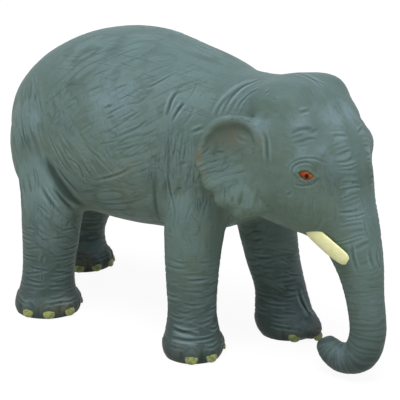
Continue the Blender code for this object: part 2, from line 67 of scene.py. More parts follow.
photoCamera = {
    "turn": math.radians(42.3),      # round the figure from its right side
    "lift": math.radians(15.6),
    "distance": 0.8908,
    "target": (0.01624, 0.00029, 0.0911),
    "focal": 1342.1,                 # in pixels of the 400 pixel frame
    "frameSize": 400,
    "sensor": 36.0,
}


def cameraAxes():
    turn, lift = photoCamera["turn"], photoCamera["lift"]
    back = np.array((math.sin(turn) * math.cos(lift), -math.cos(turn) * math.cos(lift), math.sin(lift)))
    right = np.array((math.cos(turn), math.sin(turn), 0))
    return back, right, np.cross(back, right)


def makeCamera():
    back, right, up = cameraAxes()
    spot = np.array(photoCamera["target"]) + back * photoCamera["distance"]
    data = bpy.data.cameras.new("photoCamera")
    data.sensor_fit = "HORIZONTAL"
    data.sensor_width = photoCamera["sensor"]
    data.lens = photoCamera["focal"] * photoCamera["sensor"] / photoCamera["frameSize"]
    data.clip_start, data.clip_end = 0.05, 20
    camera = bpy.data.objects.new("photoCamera", data)
    camera.location = spot
    camera.rotation_euler = Vector(-back).to_track_quat("-Z", "Y").to_euler()
    bpy.context.scene.collection.objects.link(camera)
    bpy.context.scene.camera = camera


def pixelRay(x, y):
    # start and direction, in millimetres, of the line of sight through a pixel of the photograph
    back, right, up = cameraAxes()
    half = photoCamera["frameSize"] / 2
    way = -back + right * (x - half) / photoCamera["focal"] + up * (half - y) / photoCamera["focal"]
    start = (np.array(photoCamera["target"]) + back * photoCamera["distance"]) / mm
    return start, way / np.linalg.norm(way)


makeCamera()

print("stage: surfaces")


def nodeBox(name):
    low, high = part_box(name)
    return np.array(low) / mm, np.array(high) / mm


def newMesh(name, points, faces):
    # points in millimetres; faces is a list of index rows
    mesh = bpy.data.meshes.new(name)
    mesh.from_pydata((np.asarray(points) * mm).tolist(), [], faces)
    mesh.validate()
    return mesh


def newPiece(name, mesh):
    piece = bpy.data.objects.new(name, mesh)
    bpy.context.scene.collection.objects.link(piece)
    return piece


def faceOut(mesh):
    shape = bmesh.new()
    shape.from_mesh(mesh)
    bmesh.ops.recalc_face_normals(shape, faces=shape.faces)
    shape.to_mesh(mesh)
    shape.free()


def smoothRows(rows, steps):
    # a cubic curve through rows of numbers: steps points between each pair, whole arrays per span
    rows = np.asarray(rows, float)
    ends = np.vstack([2 * rows[0] - rows[1], rows, 2 * rows[-1] - rows[-2]])
    t = np.linspace(0, 1, steps, endpoint=False)[:, None]
    spans = [0.5 * (2 * b + (c - a) * t + (2 * a - 5 * b + 4 * c - d) * t ** 2
                    + (3 * b - a - 3 * c + d) * t ** 3)
             for a, b, c, d in zip(ends, ends[1:], ends[2:], ends[3:])]
    return np.vstack(spans + [rows[-1:]])


def gridQuads(rows, columns, wrap=True):
    # each quad joins a point to its neighbours along and across the grid
    row, column = np.meshgrid(np.arange(rows - 1), np.arange(columns if wrap else columns - 1), indexing="ij")
    after = (column + 1) % columns
    here, beyond = row * columns, (row + 1) * columns
    corners = [here + column, here + after, beyond + after, beyond + column]
    return np.stack(corners, -1).reshape(-1, 4)


def closedTube(grid):
    # rings of points joined into a tube, with a fan of triangles to a pole at each end
    rows, columns = grid.shape[:2]
    points = np.vstack([grid.reshape(-1, 3), grid[0].mean(0), grid[-1].mean(0)])
    side = np.arange(columns)
    after = (side + 1) % columns
    last = (rows - 1) * columns
    fans = np.vstack([np.stack([np.full(columns, rows * columns), after, side], 1),
                      np.stack([np.full(columns, rows * columns + 1), last + side, last + after], 1)])
    return points, gridQuads(rows, columns).tolist() + fans.tolist()


def ringTurns(sides):
    return np.linspace(0, 2 * math.pi, sides, endpoint=False)


def bodyGrid(rows, power, sides=64):
    # x is the place along; y and z follow a superellipse between top, bottom and half width
    turns = ringTurns(sides)
    side = np.sign(np.cos(turns)) * np.abs(np.cos(turns)) ** (2 / power)
    lift = np.sign(np.sin(turns)) * np.abs(np.sin(turns)) ** (2 / power)
    place, top, bottom, half, widest = rows.T[:, :, None]
    height = widest + np.where(lift > 0, top - widest, widest - bottom) * lift
    return np.stack([place + 0 * height, half * side, height], -1)


def tubeGrid(rows, sides=48):
    # a ring square to the route at each row of x, y, z, half width across Y, half depth
    turns = ringTurns(sides)
    route = rows[:, :3]
    way = np.gradient(route, axis=0)
    way /= np.linalg.norm(way, axis=1, keepdims=True)
    across = np.array((0, 1, 0)) - way[:, 1:2] * way
    across /= np.linalg.norm(across, axis=1, keepdims=True)
    other = np.cross(way, across)
    return (route[:, None] + np.cos(turns)[:, None] * (rows[:, 3:4] * across)[:, None]
            + np.sin(turns)[:, None] * (rows[:, 4:5] * other)[:, None])


def ballGrid(centre, halves, rings=24, sides=32):
    # an ellipsoid: z is the cosine of the band angle, x and y its sine round the turn
    poleGap = 0.04   # radians left open round each pole
    bands = np.linspace(poleGap, math.pi - poleGap, rings)[:, None]
    turns = ringTurns(sides)
    unit = np.stack([np.sin(bands) * np.cos(turns), np.sin(bands) * np.sin(turns),
                     np.cos(bands) + 0 * turns], -1)
    return np.asarray(centre) + unit * np.asarray(halves)


# Whole figure: driving sizes, then shares of them, as the castings are laid out
figure = {
    "length": 330.0, "height": 202.0, "width": 110.0, "power": 2.3,
    "legSeam": 66.0, "neckSeam": 86.0, "trunkSeam": 106.0, "legSplit": -9.9,
    "foreFoot": 20.0, "hindFoot": 22.8,
    "plugPlace": -11.88,
}
plugLow, plugHigh = nodeBox("belly_plug")
shift = np.array(((plugLow[0] + plugHigh[0]) / 2 - figure["plugPlace"], (plugLow[1] + plugHigh[1]) / 2, 0))
figureScale = np.array((figure["length"], figure["width"], figure["height"]))

# Barrel, neck and head: place along, top, bottom, half width, height of the widest line
barrelRows = (
    (-0.41, 0.68, 0.53, 0.073, 0.612), (-0.397, 0.737, 0.476, 0.177, 0.606),
    (-0.358, 0.812, 0.425, 0.315, 0.604), (-0.279, 0.905, 0.396, 0.412, 0.61),
    (-0.167, 0.976, 0.35, 0.473, 0.612), (-0.045, 0.998, 0.346, 0.5, 0.604),
    (0.076, 0.962, 0.36, 0.467, 0.604), (0.167, 0.926, 0.382, 0.412, 0.614),
    (0.242, 0.866, 0.436, 0.337, 0.624), (0.303, 0.745, 0.495, 0.223, 0.634),
    (0.333, 0.658, 0.545, 0.09, 0.624))
neckRows = (
    (0.121, 0.91, 0.515, 0.345, 0.693), (0.197, 0.905, 0.495, 0.327, 0.693),
    (0.273, 0.905, 0.485, 0.31, 0.693), (0.333, 0.9, 0.485, 0.3, 0.683))
headRows = (
    (0.26, 0.8, 0.53, 0.136, 0.675), (0.278, 0.88, 0.462, 0.262, 0.685),
    (0.32, 0.922, 0.446, 0.32, 0.695), (0.375, 0.914, 0.438, 0.332, 0.685),
    (0.429, 0.852, 0.428, 0.286, 0.655), (0.472, 0.755, 0.443, 0.2, 0.616),
    (0.499, 0.665, 0.488, 0.082, 0.586))
# Trunk: place along, height, half width, half depth
trunkRows = (
    (0.432, 0.69, 0.196, 0.053), (0.443, 0.59, 0.186, 0.06), (0.467, 0.472, 0.162, 0.0575),
    (0.492, 0.368, 0.126, 0.0465), (0.505, 0.276, 0.105, 0.0375), (0.515, 0.168, 0.102, 0.035),
    (0.5, 0.09, 0.104, 0.0345), (0.459, 0.058, 0.09, 0.029), (0.428, 0.076, 0.077, 0.025),
    (0.415, 0.108, 0.056, 0.018))
# Paired masses: place along, half track, height, then three half sizes
massRows = {
    "flank web": ((-0.150, 0.330, 0.440), (0.055, 0.100, 0.068)),
    "dome": ((0.348, 0.170, 0.836), (0.072, 0.146, 0.082)),
    "brow": ((0.430, 0.215, 0.708), (0.036, 0.086, 0.062)),
    "shoulder": ((0.152, 0.256, 0.640), (0.088, 0.196, 0.215)),
    "thigh": ((-0.238, 0.256, 0.570), (0.122, 0.218, 0.232)),
}
# Legs: height, share of the way from hip to foot, share of the track, half length, half width
foreLegRows = (
    (-0.03, 1.0, 1.0, 0.84, 0.84), (0.0, 1.0, 1.0, 0.88, 0.88), (0.03, 1.0, 1.0, 1.0, 0.97),
    (0.08, 0.84, 1.0, 0.9, 0.89), (0.15, 0.74, 1.0, 0.79, 0.81), (0.248, 0.48, 0.98, 0.84, 0.86),
    (0.371, 0.28, 0.93, 0.95, 0.94), (0.495, 0.0, 0.8, 1.09, 0.99), (0.619, -0.1, 0.62, 1.13, 0.95),
    (0.743, -0.2, 0.5, 0.89, 0.71))
hindLegRows = (
    (-0.03, 1.0, 1.0, 0.86, 0.86), (0.0, 1.0, 1.0, 0.92, 0.92), (0.03, 1.0, 1.0, 1.0, 0.97),
    (0.08, 1.03, 1.0, 0.86, 0.86), (0.15, 0.98, 1.0, 0.75, 0.75), (0.248, 0.75, 1.0, 0.78, 0.78),
    (0.371, 0.36, 0.97, 0.94, 0.82), (0.495, 0.0, 0.83, 1.26, 0.9), (0.619, 0.0, 0.66, 1.33, 0.88),
    (0.743, 0.0, 0.5, 1.05, 0.72))
# Each leg: hip and foot along the figure, foot across it
legPlaces = {"front_right": (0.1700, 0.1770, -0.3290), "front_left": (0.1700, 0.2424, 0.3290),
             "hind_right": (-0.2230, -0.2288, -0.3864), "hind_left": (-0.2515, -0.3864, 0.3864)}
# How a leg differs from its rows: height and how far ahead in millimetres, and how much thicker
legTrims = {
    "hind_right": ((0, 0, 1.05), (6, 0, 1.01), (16, 0.0, 1.01), (33, 2.2, 1.09), (50, 4.4, 1.11),
                   (71, 5.2, 1.10), (86, 4.6, 1.06), (100, 4.0, 1.00), (140, 1, 1)),
    "hind_left": (
        (0, -2.4, 0.98), (20, -2.6, 0.99), (50, -2.6, 1.01), (80, -1, 1), (100, 0, 1)),
    "front_left": (
        (0, -1.5, 0.99), (6, -1.5, 1.06), (16, -1.0, 1.1), (45, -2.0, 1.11), (70, -2.2, 1.08),
        (110, 0, 1)),
}
# The left fore foot's inner toe stands out: its middle and half sizes, in millimetres
bigToe = ((83.0, 33.0, 11.0), (9.0, 9.0, 9.5))
nailCounts = {"front": 3, "hind": 4}
flanks = {"right": -1, "left": 1}


def bodySurface(shares):
    scale = (figure["length"], figure["height"], figure["height"], figure["width"], figure["height"])
    return bodyGrid(smoothRows(np.array(shares) * scale, 8), figure["power"])


def legRoute(leg):
    # rows of height, place along, place across, half length, half width
    shares = np.array(foreLegRows if leg.startswith("front") else hindLegRows)
    radius = figure["foreFoot"] if leg.startswith("front") else figure["hindFoot"]
    hip, foot, track = np.array(legPlaces[leg]) * (figure["length"], figure["length"], figure["width"])
    rows = smoothRows(np.stack([shares[:, 0] * figure["height"], hip + shares[:, 1] * (foot - hip),
                                shares[:, 2] * track, shares[:, 3] * radius, shares[:, 4] * radius], 1), 8)
    heights, ahead, swell = np.array(legTrims.get(leg, ((0, 0, 1),)), float).T
    rows[:, 1] += np.interp(rows[:, 0], heights, ahead)
    rows[:, 3:] *= np.interp(rows[:, 0], heights, swell)[:, None]
    return rows


def legSurface(leg, sides=64):
    # level rings: x and y go round the leg's line at each height
    height, place, across, halfLength, halfWidth = legRoute(leg).T[:, :, None]
    turns = ringTurns(sides)
    return np.stack([place + halfLength * np.cos(turns), across + halfWidth * np.sin(turns),
                     height + 0 * turns], -1)


def trunkRoute():
    shares = np.array(trunkRows)
    rows = np.stack([shares[:, 0] * figure["length"], 0 * shares[:, 0], shares[:, 1] * figure["height"],
                     shares[:, 2] * figure["width"], shares[:, 3] * figure["length"]], 1)
    return smoothRows(rows, 8)


def legAxis(leg, height):
    # the middle of a leg at a height
    heights, ahead, across = legRoute(leg).T[:3]
    return np.array((np.interp(height, heights, ahead), np.interp(height, heights, across), height)) + shift


# Degrees round the leg from where the CAD has a nail, or all the nails of a leg
nailTurns = {"nail_front_left": -14, "nail_front_right_3": 34, "nail_hind_right_4": 27, "nail_hind_left_3": 5}


def nailWay(leg, name):
    # level direction from the leg's line to a nail
    middle = sum(nodeBox(name)) / 2
    way = middle - legAxis(leg, middle[2])
    turn = math.atan2(way[1], way[0]) + math.radians(nailTurns.get(name, nailTurns.get("nail_" + leg, 0)))
    return middle[2], np.array((math.cos(turn), math.sin(turn), 0))


def nailNames(leg):
    return [f"nail_{leg}_{number + 1}" for number in range(nailCounts[leg.split("_")[0]])]


ear = {
    "place": (113.4, 35.0, 135.4), "flare": math.radians(42),
    "rootHalf": 2.3, "rimHalf": 1.5, "cup": 4.4, "bulge": 2.8,
    "flutes": 0.5, "scallops": 1.5, "waves": 44, "sway": 1.3, "swayWaves": 9, "crest": 1.15,
    "waveStart": (0.52, 0.66), "dishEnd": (0.42, 0.72), "bulgeStart": (0.55, 0.85),   # shares of the way down
    "rimStart": 0.965, "rimThin": 0.6,
}
# Pixels of the right ear's rim and root, top to lobe, and millimetres towards the viewer; the roll's rows
# end in its radius
earRim = (
    (259, 124, -4.0), (246, 118.8, -1.0), (233, 116.8, 1.0), (221, 117.8, 2.2), (212, 123, 2.8),
    (205.5, 132, 2.4), (201.5, 140, 1.8), (197.5, 147, 1.4), (195.2, 156, 1.0), (196.5, 166, 0.8),
    (200.5, 177, 0.6), (206, 188, 0.2), (213, 197.5, -0.5), (221, 207, -1.5), (230, 213.5, -2.5),
    (241, 217, -3.5), (252, 214.5, -5.0), (262, 212, -6.5))
earRoot = (
    (266, 125, -3.0), (266, 130, -2.2), (266, 135, -1.6), (266, 140, -1.1), (266, 145, -0.7),
    (266, 150, -0.4), (266, 155, -0.2), (266, 160, 0.0), (266, 165, 0.0), (266, 170, -0.1),
    (266, 175, -0.3), (266, 180, -0.6), (267, 185, -0.9), (268, 190, -1.2), (269, 195, -1.6),
    (270, 200, -2.2), (271, 204, -2.8), (272, 208, -3.6))
earRoll = (
    (202.5, 146, 1.4, 1.2), (204, 139, 2.0, 2.0), (208, 131, 2.6, 2.6), (214.5, 124.5, 2.6, 3.0),
    (223, 120.8, 2.2, 3.1), (233, 120, 1.6, 3.1), (242, 121.6, 1.2, 3.0), (249.5, 125, 1.2, 2.9),
    (254.5, 131, 1.5, 2.8), (257.5, 139, 1.8, 2.6), (259.5, 148, 2.0, 2.3), (260.8, 157, 2.2, 1.9),
    (261.5, 165, 2.0, 1.2))


def smoothStep(value, low, high):
    share = np.clip((value - low) / (high - low), 0, 1)
    return share * share * (3 - 2 * share)


def earAxes(side):
    # out along the ear from its root, and square to its face
    out = np.array((-math.cos(ear["flare"]), side * math.sin(ear["flare"]), 0))
    return out, np.array((math.sin(ear["flare"]), side * math.cos(ear["flare"]), 0))


def earPoints(rows, side):
    # where each pixel's line of sight meets the upright plane through the right ear; mirrored for the left
    face = earAxes(-1)[1]
    place = np.array(ear["place"]) * (1, -1, 1) + shift
    spots = []
    for x, y, depth in np.asarray(rows)[:, :3]:
        start, way = pixelRay(x, y)
        spots.append(start + way * (((place - start) @ face + depth) / (way @ face)) - shift)
    return np.array(spots) * (1, -side, 1)


def earGrids(side, across=44):
    # a dished plate ruled from the root line to the rim line; its lower edge is fluted and wavy
    face = earAxes(side)[1]
    root, rim = (smoothRows(earPoints(rows, side), 5) for rows in (earRoot, earRim))
    down = np.linspace(0, 1, len(root))[:, None]   # 0 at the top of the ear, 1 at its lobe
    ways = np.linspace(0, 1, across)[None, :]      # 0 at the root, 1 at the rim
    low = smoothStep(down, *ear["waveStart"])
    wave = np.sin(down * ear["waves"] + ear["sway"] * np.sin(down * ear["swayWaves"])) * low
    spans = np.linalg.norm(rim - root, axis=1)[:, None]
    reach = ways + ear["scallops"] * wave * ways ** 4 / spans
    grid = root[:, None] + (rim - root)[:, None] * reach[..., None]
    dish = (ear["cup"] * (1 - smoothStep(down, *ear["dishEnd"]))
            - ear["bulge"] * smoothStep(down, *ear["bulgeStart"]))
    lift = -dish * np.sin(math.pi * ways ** ear["crest"]) + ear["flutes"] * wave * ways ** 2
    grid = grid + lift[..., None] * face
    normal = np.cross(np.gradient(grid, axis=0), np.gradient(grid, axis=1))
    normal /= np.linalg.norm(normal, axis=2, keepdims=True)
    half = ear["rootHalf"] + (ear["rimHalf"] - ear["rootHalf"]) * ways + 0 * down
    half = half * np.sqrt(1 - ear["rimThin"] * smoothStep(ways, ear["rimStart"], 1.0))
    return grid + normal * half[..., None], grid - normal * half[..., None]


earJoint = ((258, 127, -2.0), 4.6)  # pixel and depth, then radius: flesh where the roll turns down


def jointGrid(side):
    # a ball at the joint's pixel
    return ballGrid(earPoints([earJoint[0]], side)[0], (earJoint[1],) * 3)


def rollGrid(side):
    # the rolled rim: round rings along its own line, which turns down in front of the ear
    rows = np.array(earRoll)
    return tubeGrid(smoothRows(np.hstack([earPoints(rows, side), rows[:, 3:], rows[:, 3:]]), 6), 20)


def closedPlate(upper, lower):
    # two grids of points joined round their border
    rows, columns = upper.shape[:2]
    number = np.arange(rows * columns).reshape(rows, columns)
    border = np.concatenate([number[0], number[1:, -1], number[-1, -2::-1], number[-2:0:-1, 0]])
    after = np.roll(border, -1)
    faces = gridQuads(rows, columns, wrap=False)
    walls = np.stack([border, after, after + rows * columns, border + rows * columns], 1)
    points = np.vstack([upper.reshape(-1, 3), lower.reshape(-1, 3)])
    return points, faces.tolist() + (faces + rows * columns).tolist() + walls.tolist()


clayGrain = 1.5  # before one subdivision, in millimetres


def voxelClay():
    # lofts, masses and ears run together by a voxel skin
    grids = [bodySurface(barrelRows), bodySurface(neckRows), bodySurface(headRows), tubeGrid(trunkRoute())]
    grids += [legSurface(leg) for leg in legPlaces]
    for centre, halves in massRows.values():
        for side in flanks.values():
            place = np.array(centre) * (1, side, 1) * figureScale
            grids.append(ballGrid(place, np.array(halves) * figureScale))
    grids.append(ballGrid(np.array(bigToe[0]) - shift, bigToe[1]))
    grids += [make(side) for make in (rollGrid, jointGrid) for side in flanks.values()]
    solids = [closedTube(grid) for grid in grids] + [closedPlate(*earGrids(side)) for side in flanks.values()]
    points, faces = [], []
    for solidPoints, solidFaces in solids:
        start = sum(map(len, points))
        points.append(solidPoints + shift)
        faces += [[start + corner for corner in face] for face in solidFaces]
    block = newPiece("clay", newMesh("clay", np.vstack(points), faces))
    faceOut(block.data)
    skin = block.modifiers.new("Skin", "REMESH")
    skin.mode = "VOXEL"
    skin.voxel_size = clayGrain * mm
    mesh = bpy.data.meshes.new_from_object(block.evaluated_get(bpy.context.evaluated_depsgraph_get()))
    bpy.data.objects.remove(block)
    return mesh


# Spread in square millimetres everywhere and on the head, whose place is in shares of the figure's sizes;
# points near an ear's plate are held
relaxing = {"all": 18.0, "head": 90.0, "headPlace": (0.36, 0.0, 0.74), "headReach": (45.0, 75.0),
            "earNear": 50, "earHeld": (1.2, 4.5), "part": 0.5}


def relaxClay(mesh):
    # each point moves half way to its neighbours' middle, many times, except on the thin of the ears
    points = meshArrays(mesh)[0]
    ends = np.empty(len(mesh.edges) * 2, int)
    mesh.edges.foreach_get("vertices", ends)
    first, second = ends.reshape(-1, 2).T
    count = np.bincount(ends, minlength=len(points))
    hold = np.zeros(len(points))
    for tree, upper in earTrees:
        near = np.flatnonzero(np.abs(points - upper.mean((0, 1))).max(1) < relaxing["earNear"])
        far = np.array([tree.find_nearest(Vector(point * mm))[3] for point in points[near]]) / mm
        hold[near] = np.maximum(hold[near], 1 - smoothStep(far, *relaxing["earHeld"]))
    headFar = np.linalg.norm(points - np.array(relaxing["headPlace"]) * figureScale - shift, axis=1)
    soft = 1 - smoothStep(headFar, *relaxing["headReach"])
    for spread, mask in ((relaxing["all"], 1), (relaxing["head"], soft)):
        share = (relaxing["part"] * (1 - hold) * mask)[:, None]
        for step in range(int(round(spread / (relaxing["part"] * clayGrain ** 2)))):
            sums = [np.bincount(first, points[second, axis], len(points))
                    + np.bincount(second, points[first, axis], len(points)) for axis in range(3)]
            points = points + share * (np.stack(sums, 1) / count[:, None] - points)
    mesh.vertices.foreach_set("co", (points * mm).ravel())
    block = newPiece("clay", mesh)
    finer = block.modifiers.new("Finer", "SUBSURF")
    finer.levels = finer.render_levels = 1
    fine = bpy.data.meshes.new_from_object(block.evaluated_get(bpy.context.evaluated_depsgraph_get()))
    bpy.data.objects.remove(block)
    return fine


def meshArrays(mesh):
    # points in millimetres, and normals
    points = np.empty(len(mesh.vertices) * 3)
    mesh.vertices.foreach_get("co", points)
    normals = np.empty(len(mesh.vertices) * 3)
    mesh.vertex_normals.foreach_get("vector", normals)
    return points.reshape(-1, 3) / mm, normals.reshape(-1, 3)


def treeOf(mesh):
    # a search tree over the mesh, for lines of sight and nearest points
    piece = newPiece("guide", mesh)
    tree = BVHTree.FromObject(piece, bpy.context.evaluated_depsgraph_get())
    bpy.data.objects.remove(piece)
    return tree


def earBladeTree(side):
    # the ear's plate beyond its root, where it stands clear of the head
    rootColumns = 12
    upper, lower = (grid[:, rootColumns:] + shift for grid in earGrids(side))
    return treeOf(newMesh("blade", *closedPlate(upper, lower))), upper


earTrees = [earBladeTree(side) for side in flanks.values()]
clayMesh = relaxClay(voxelClay())
clay, clayNormals = meshArrays(clayMesh)
clayTree = treeOf(clayMesh)
print("clay:", len(clay), "points", clay.min(0).round(1), clay.max(0).round(1))


def onClay(x, y):
    # the place, in millimetres, where a pixel's line of sight meets the clay
    start, way = pixelRay(x, y)
    spot = clayTree.ray_cast(Vector(start * mm), Vector(way))[0]
    return None if spot is None else np.array(spot) / mm


def nearClay(points):
    # nearest places on the clay, one search for each point
    return np.array([clayTree.find_nearest(Vector(point * mm))[0] for point in points]) / mm


print("stage: sculpting")

# Broad forms: pixel of the photograph, reach and height in millimetres; each is made on both sides
swellRows = (
    (272, 100, 12, 0.8), (303, 104, 7, -1.0), (306, 130, 9, 1.7), (305, 143, 7, -1.5),
    (311, 156, 9, 1.2), (331, 165, 8, -1.6), (330, 190, 9, -0.9), (290, 160, 9, -0.7),
    (292, 200, 16, 0.9), (60, 150, 22, 0.8), (96, 180, 14, -1.2), (150, 190, 9, -1.0),
    (186, 150, 22, 1.2), (168, 120, 8, -0.8), (240, 100, 9, -0.6), (350, 110, 9, 0.6),
    (324, 118, 8, -0.8), (325, 95, 10, 0.5), (334, 80, 7, 1.6), (315, 143, 7, 0.4), (21, 172, 11, 2.2),
    (311, 133, 6, -0.9))


def otherSide(points):
    # the same places on the figure's other flank
    return (points - shift) * (1, -1, 1) + shift


def swellClay():
    # height times exp(-(distance / reach) squared), along the clay's normals
    lift = np.zeros(len(clay))
    for x, y, reach, height in swellRows:
        centre = onClay(x, y)
        for place in (centre, nearClay([otherSide(centre)])[0]):
            lift += height * np.exp(-((clay - place) ** 2).sum(1) / reach ** 2)
    return lift


feet = {"ledge": (11.0, 15.0), "wave": 1.2, "waves": 3, "pad": 0.9, "sole": (-2, 4), "toe": 1.2,
        "halfWide": 5.4, "halfHigh": 7.0, "height": 6.6, "edge": (0.35, 1.1), "reach": 36, "top": 30}


def padFeet():
    # a pad with a ledge at the ankle, and a dome of height 1 - smooth(elliptical distance) over each nail
    lift = np.zeros(len(clay))
    for leg in legPlaces:
        axis = legAxis(leg, 6)
        apart = np.linalg.norm((clay - axis)[:, :2], axis=1)
        near = np.flatnonzero((apart < feet["reach"]) & (clay[:, 2] < feet["top"]))
        local, height = clay[near] - axis, clay[near, 2]
        turn = np.arctan2(local[:, 1], local[:, 0])
        ledge = height - feet["wave"] * np.sin(feet["waves"] * turn + axis[0])
        pad = feet["pad"] * (1 - smoothStep(ledge, *feet["ledge"])) * smoothStep(height, *feet["sole"])
        dome = np.zeros(len(near))
        for name in nailNames(leg):
            out = nailWay(leg, name)[1]
            beside = local @ np.cross(out, (0, 0, 1))
            far = np.sqrt((beside / feet["halfWide"]) ** 2
                          + ((height - feet["height"]) / feet["halfHigh"]) ** 2)
            dome = np.maximum(dome, feet["toe"] * (1 - smoothStep(far, *feet["edge"])) * (local @ out > 0))
        lift[near] += pad + dome
    return lift


clay = clay + clayNormals * (swellClay() + padFeet())[:, None]
clayMesh.vertices.foreach_set("co", (clay * mm).ravel())
clayMesh.update()
clay, clayNormals = meshArrays(clayMesh)
clayTree = treeOf(clayMesh)

sink = np.zeros(len(clay))   # depth of grooves
rise = np.zeros(len(clay))   # height of the lips beside them
cellSize = 4.0               # of the grid that finds the clay's points near a groove
cellLow = clay.min(0) - cellSize
cellCount = np.ceil((clay.max(0) - cellLow) / cellSize).astype(int) + 1
cellPlace = ((clay - cellLow) / cellSize).astype(int)
cellKeys = (cellPlace[:, 0] * cellCount[1] + cellPlace[:, 1]) * cellCount[2] + cellPlace[:, 2]
cellOrder = np.argsort(cellKeys, kind="stable")
cellKeys = cellKeys[cellOrder]


def clayAround(low, high):
    # numbers of the clay's points in the grid cells between two corners
    first = np.clip(((low - cellLow) / cellSize).astype(int), 0, cellCount - 1)
    last = np.clip(((high - cellLow) / cellSize).astype(int), 0, cellCount - 1)
    rows = np.arange(first[0], last[0] + 1)[:, None] * cellCount[1] + np.arange(first[1], last[1] + 1)
    starts = np.searchsorted(cellKeys, (rows * cellCount[2] + first[2]).ravel(), "left")
    stops = np.searchsorted(cellKeys, (rows * cellCount[2] + last[2]).ravel(), "right")
    return np.concatenate([cellOrder[start:stop] for start, stop in zip(starts, stops)])


def pathDistance(points, path):
    # distance to the nearest stretch of a path, and how far along it that is in millimetres
    starts, ways = path[:-1], np.diff(path, axis=0)
    squares = np.maximum((ways ** 2).sum(1), 1e-9)
    apart = points[:, None] - starts
    share = np.clip((apart * ways).sum(2) / squares, 0, 1)
    gaps = np.linalg.norm(apart - share[..., None] * ways, axis=2)
    nearest = gaps.argmin(1)
    number = np.arange(len(points))
    lengths = np.sqrt(squares)
    before = np.concatenate([[0], np.cumsum(lengths)])[:-1]
    return gaps[number, nearest], before[nearest] + share[number, nearest] * lengths[nearest], lengths.sum()


# In widths of the groove: how far it is felt, and its lips' place and width; then how its ends run out
groove = {"reach": 3.4, "lipPlace": 2.1, "lipWide": 0.9, "ends": 3.4, "fade": 0.7, "lip": 0.35}


def carveLine(path, width, depth, lip=groove["lip"]):
    # a groove: depth times exp(-(gap / width) squared), running out at both ends, with a low lip either side
    if path is None or len(path) < 2:
        return
    reach = groove["reach"] * width
    near = clayAround(path.min(0) - reach, path.max(0) + reach)
    gap, along, length = pathDistance(clay[near], path)
    close = gap < reach
    near, gap, share = near[close], gap[close], along[close] / length
    taper = np.clip(groove["ends"] * share * (1 - share), 0, 1) ** groove["fade"]
    sink[near] = np.maximum(sink[near], depth * taper * np.exp(-(gap / width) ** 2))
    beside = np.exp(-((gap - groove["lipPlace"] * width) / (groove["lipWide"] * width)) ** 2)
    rise[near] = np.maximum(rise[near], lip * depth * taper * beside)


laying = {"spacing": 2.4, "jump": 5.0, "aboveSeam": 6, "sameBody": 4.0}   # pixels, then millimetres


def layPath(pixels, sight, spacing=laying["spacing"]):
    # a smooth curve through points of a view, laid on the clay; where it jumps, its longest run is kept
    pixels = np.asarray(pixels, float)
    steps = max(2, int(np.linalg.norm(np.diff(pixels, axis=0), axis=1).max() / spacing))
    spots = [sight(x, y) for x, y in smoothRows(pixels, steps)]
    spots = np.array([spot for spot in spots if spot is not None])
    if len(spots) < 2:
        return None
    jumps = np.flatnonzero(np.linalg.norm(np.diff(spots, axis=0), axis=1) > laying["jump"])
    return max(np.split(spots, jumps + 1), key=len)


def carveBoth(path, width, depth, lip=groove["lip"]):
    # on the near side, and again on the other where the body is the same there
    carveLine(path, width, depth, lip)
    if path is None or len(path) < 2 or path[:, 2].min() < figure["legSeam"] + laying["aboveSeam"]:
        return
    mirrored = otherSide(path)
    laid = nearClay(mirrored)
    if np.linalg.norm(laid - mirrored, axis=1).max() < laying["sameBody"]:
        carveLine(laid, width, depth, lip)


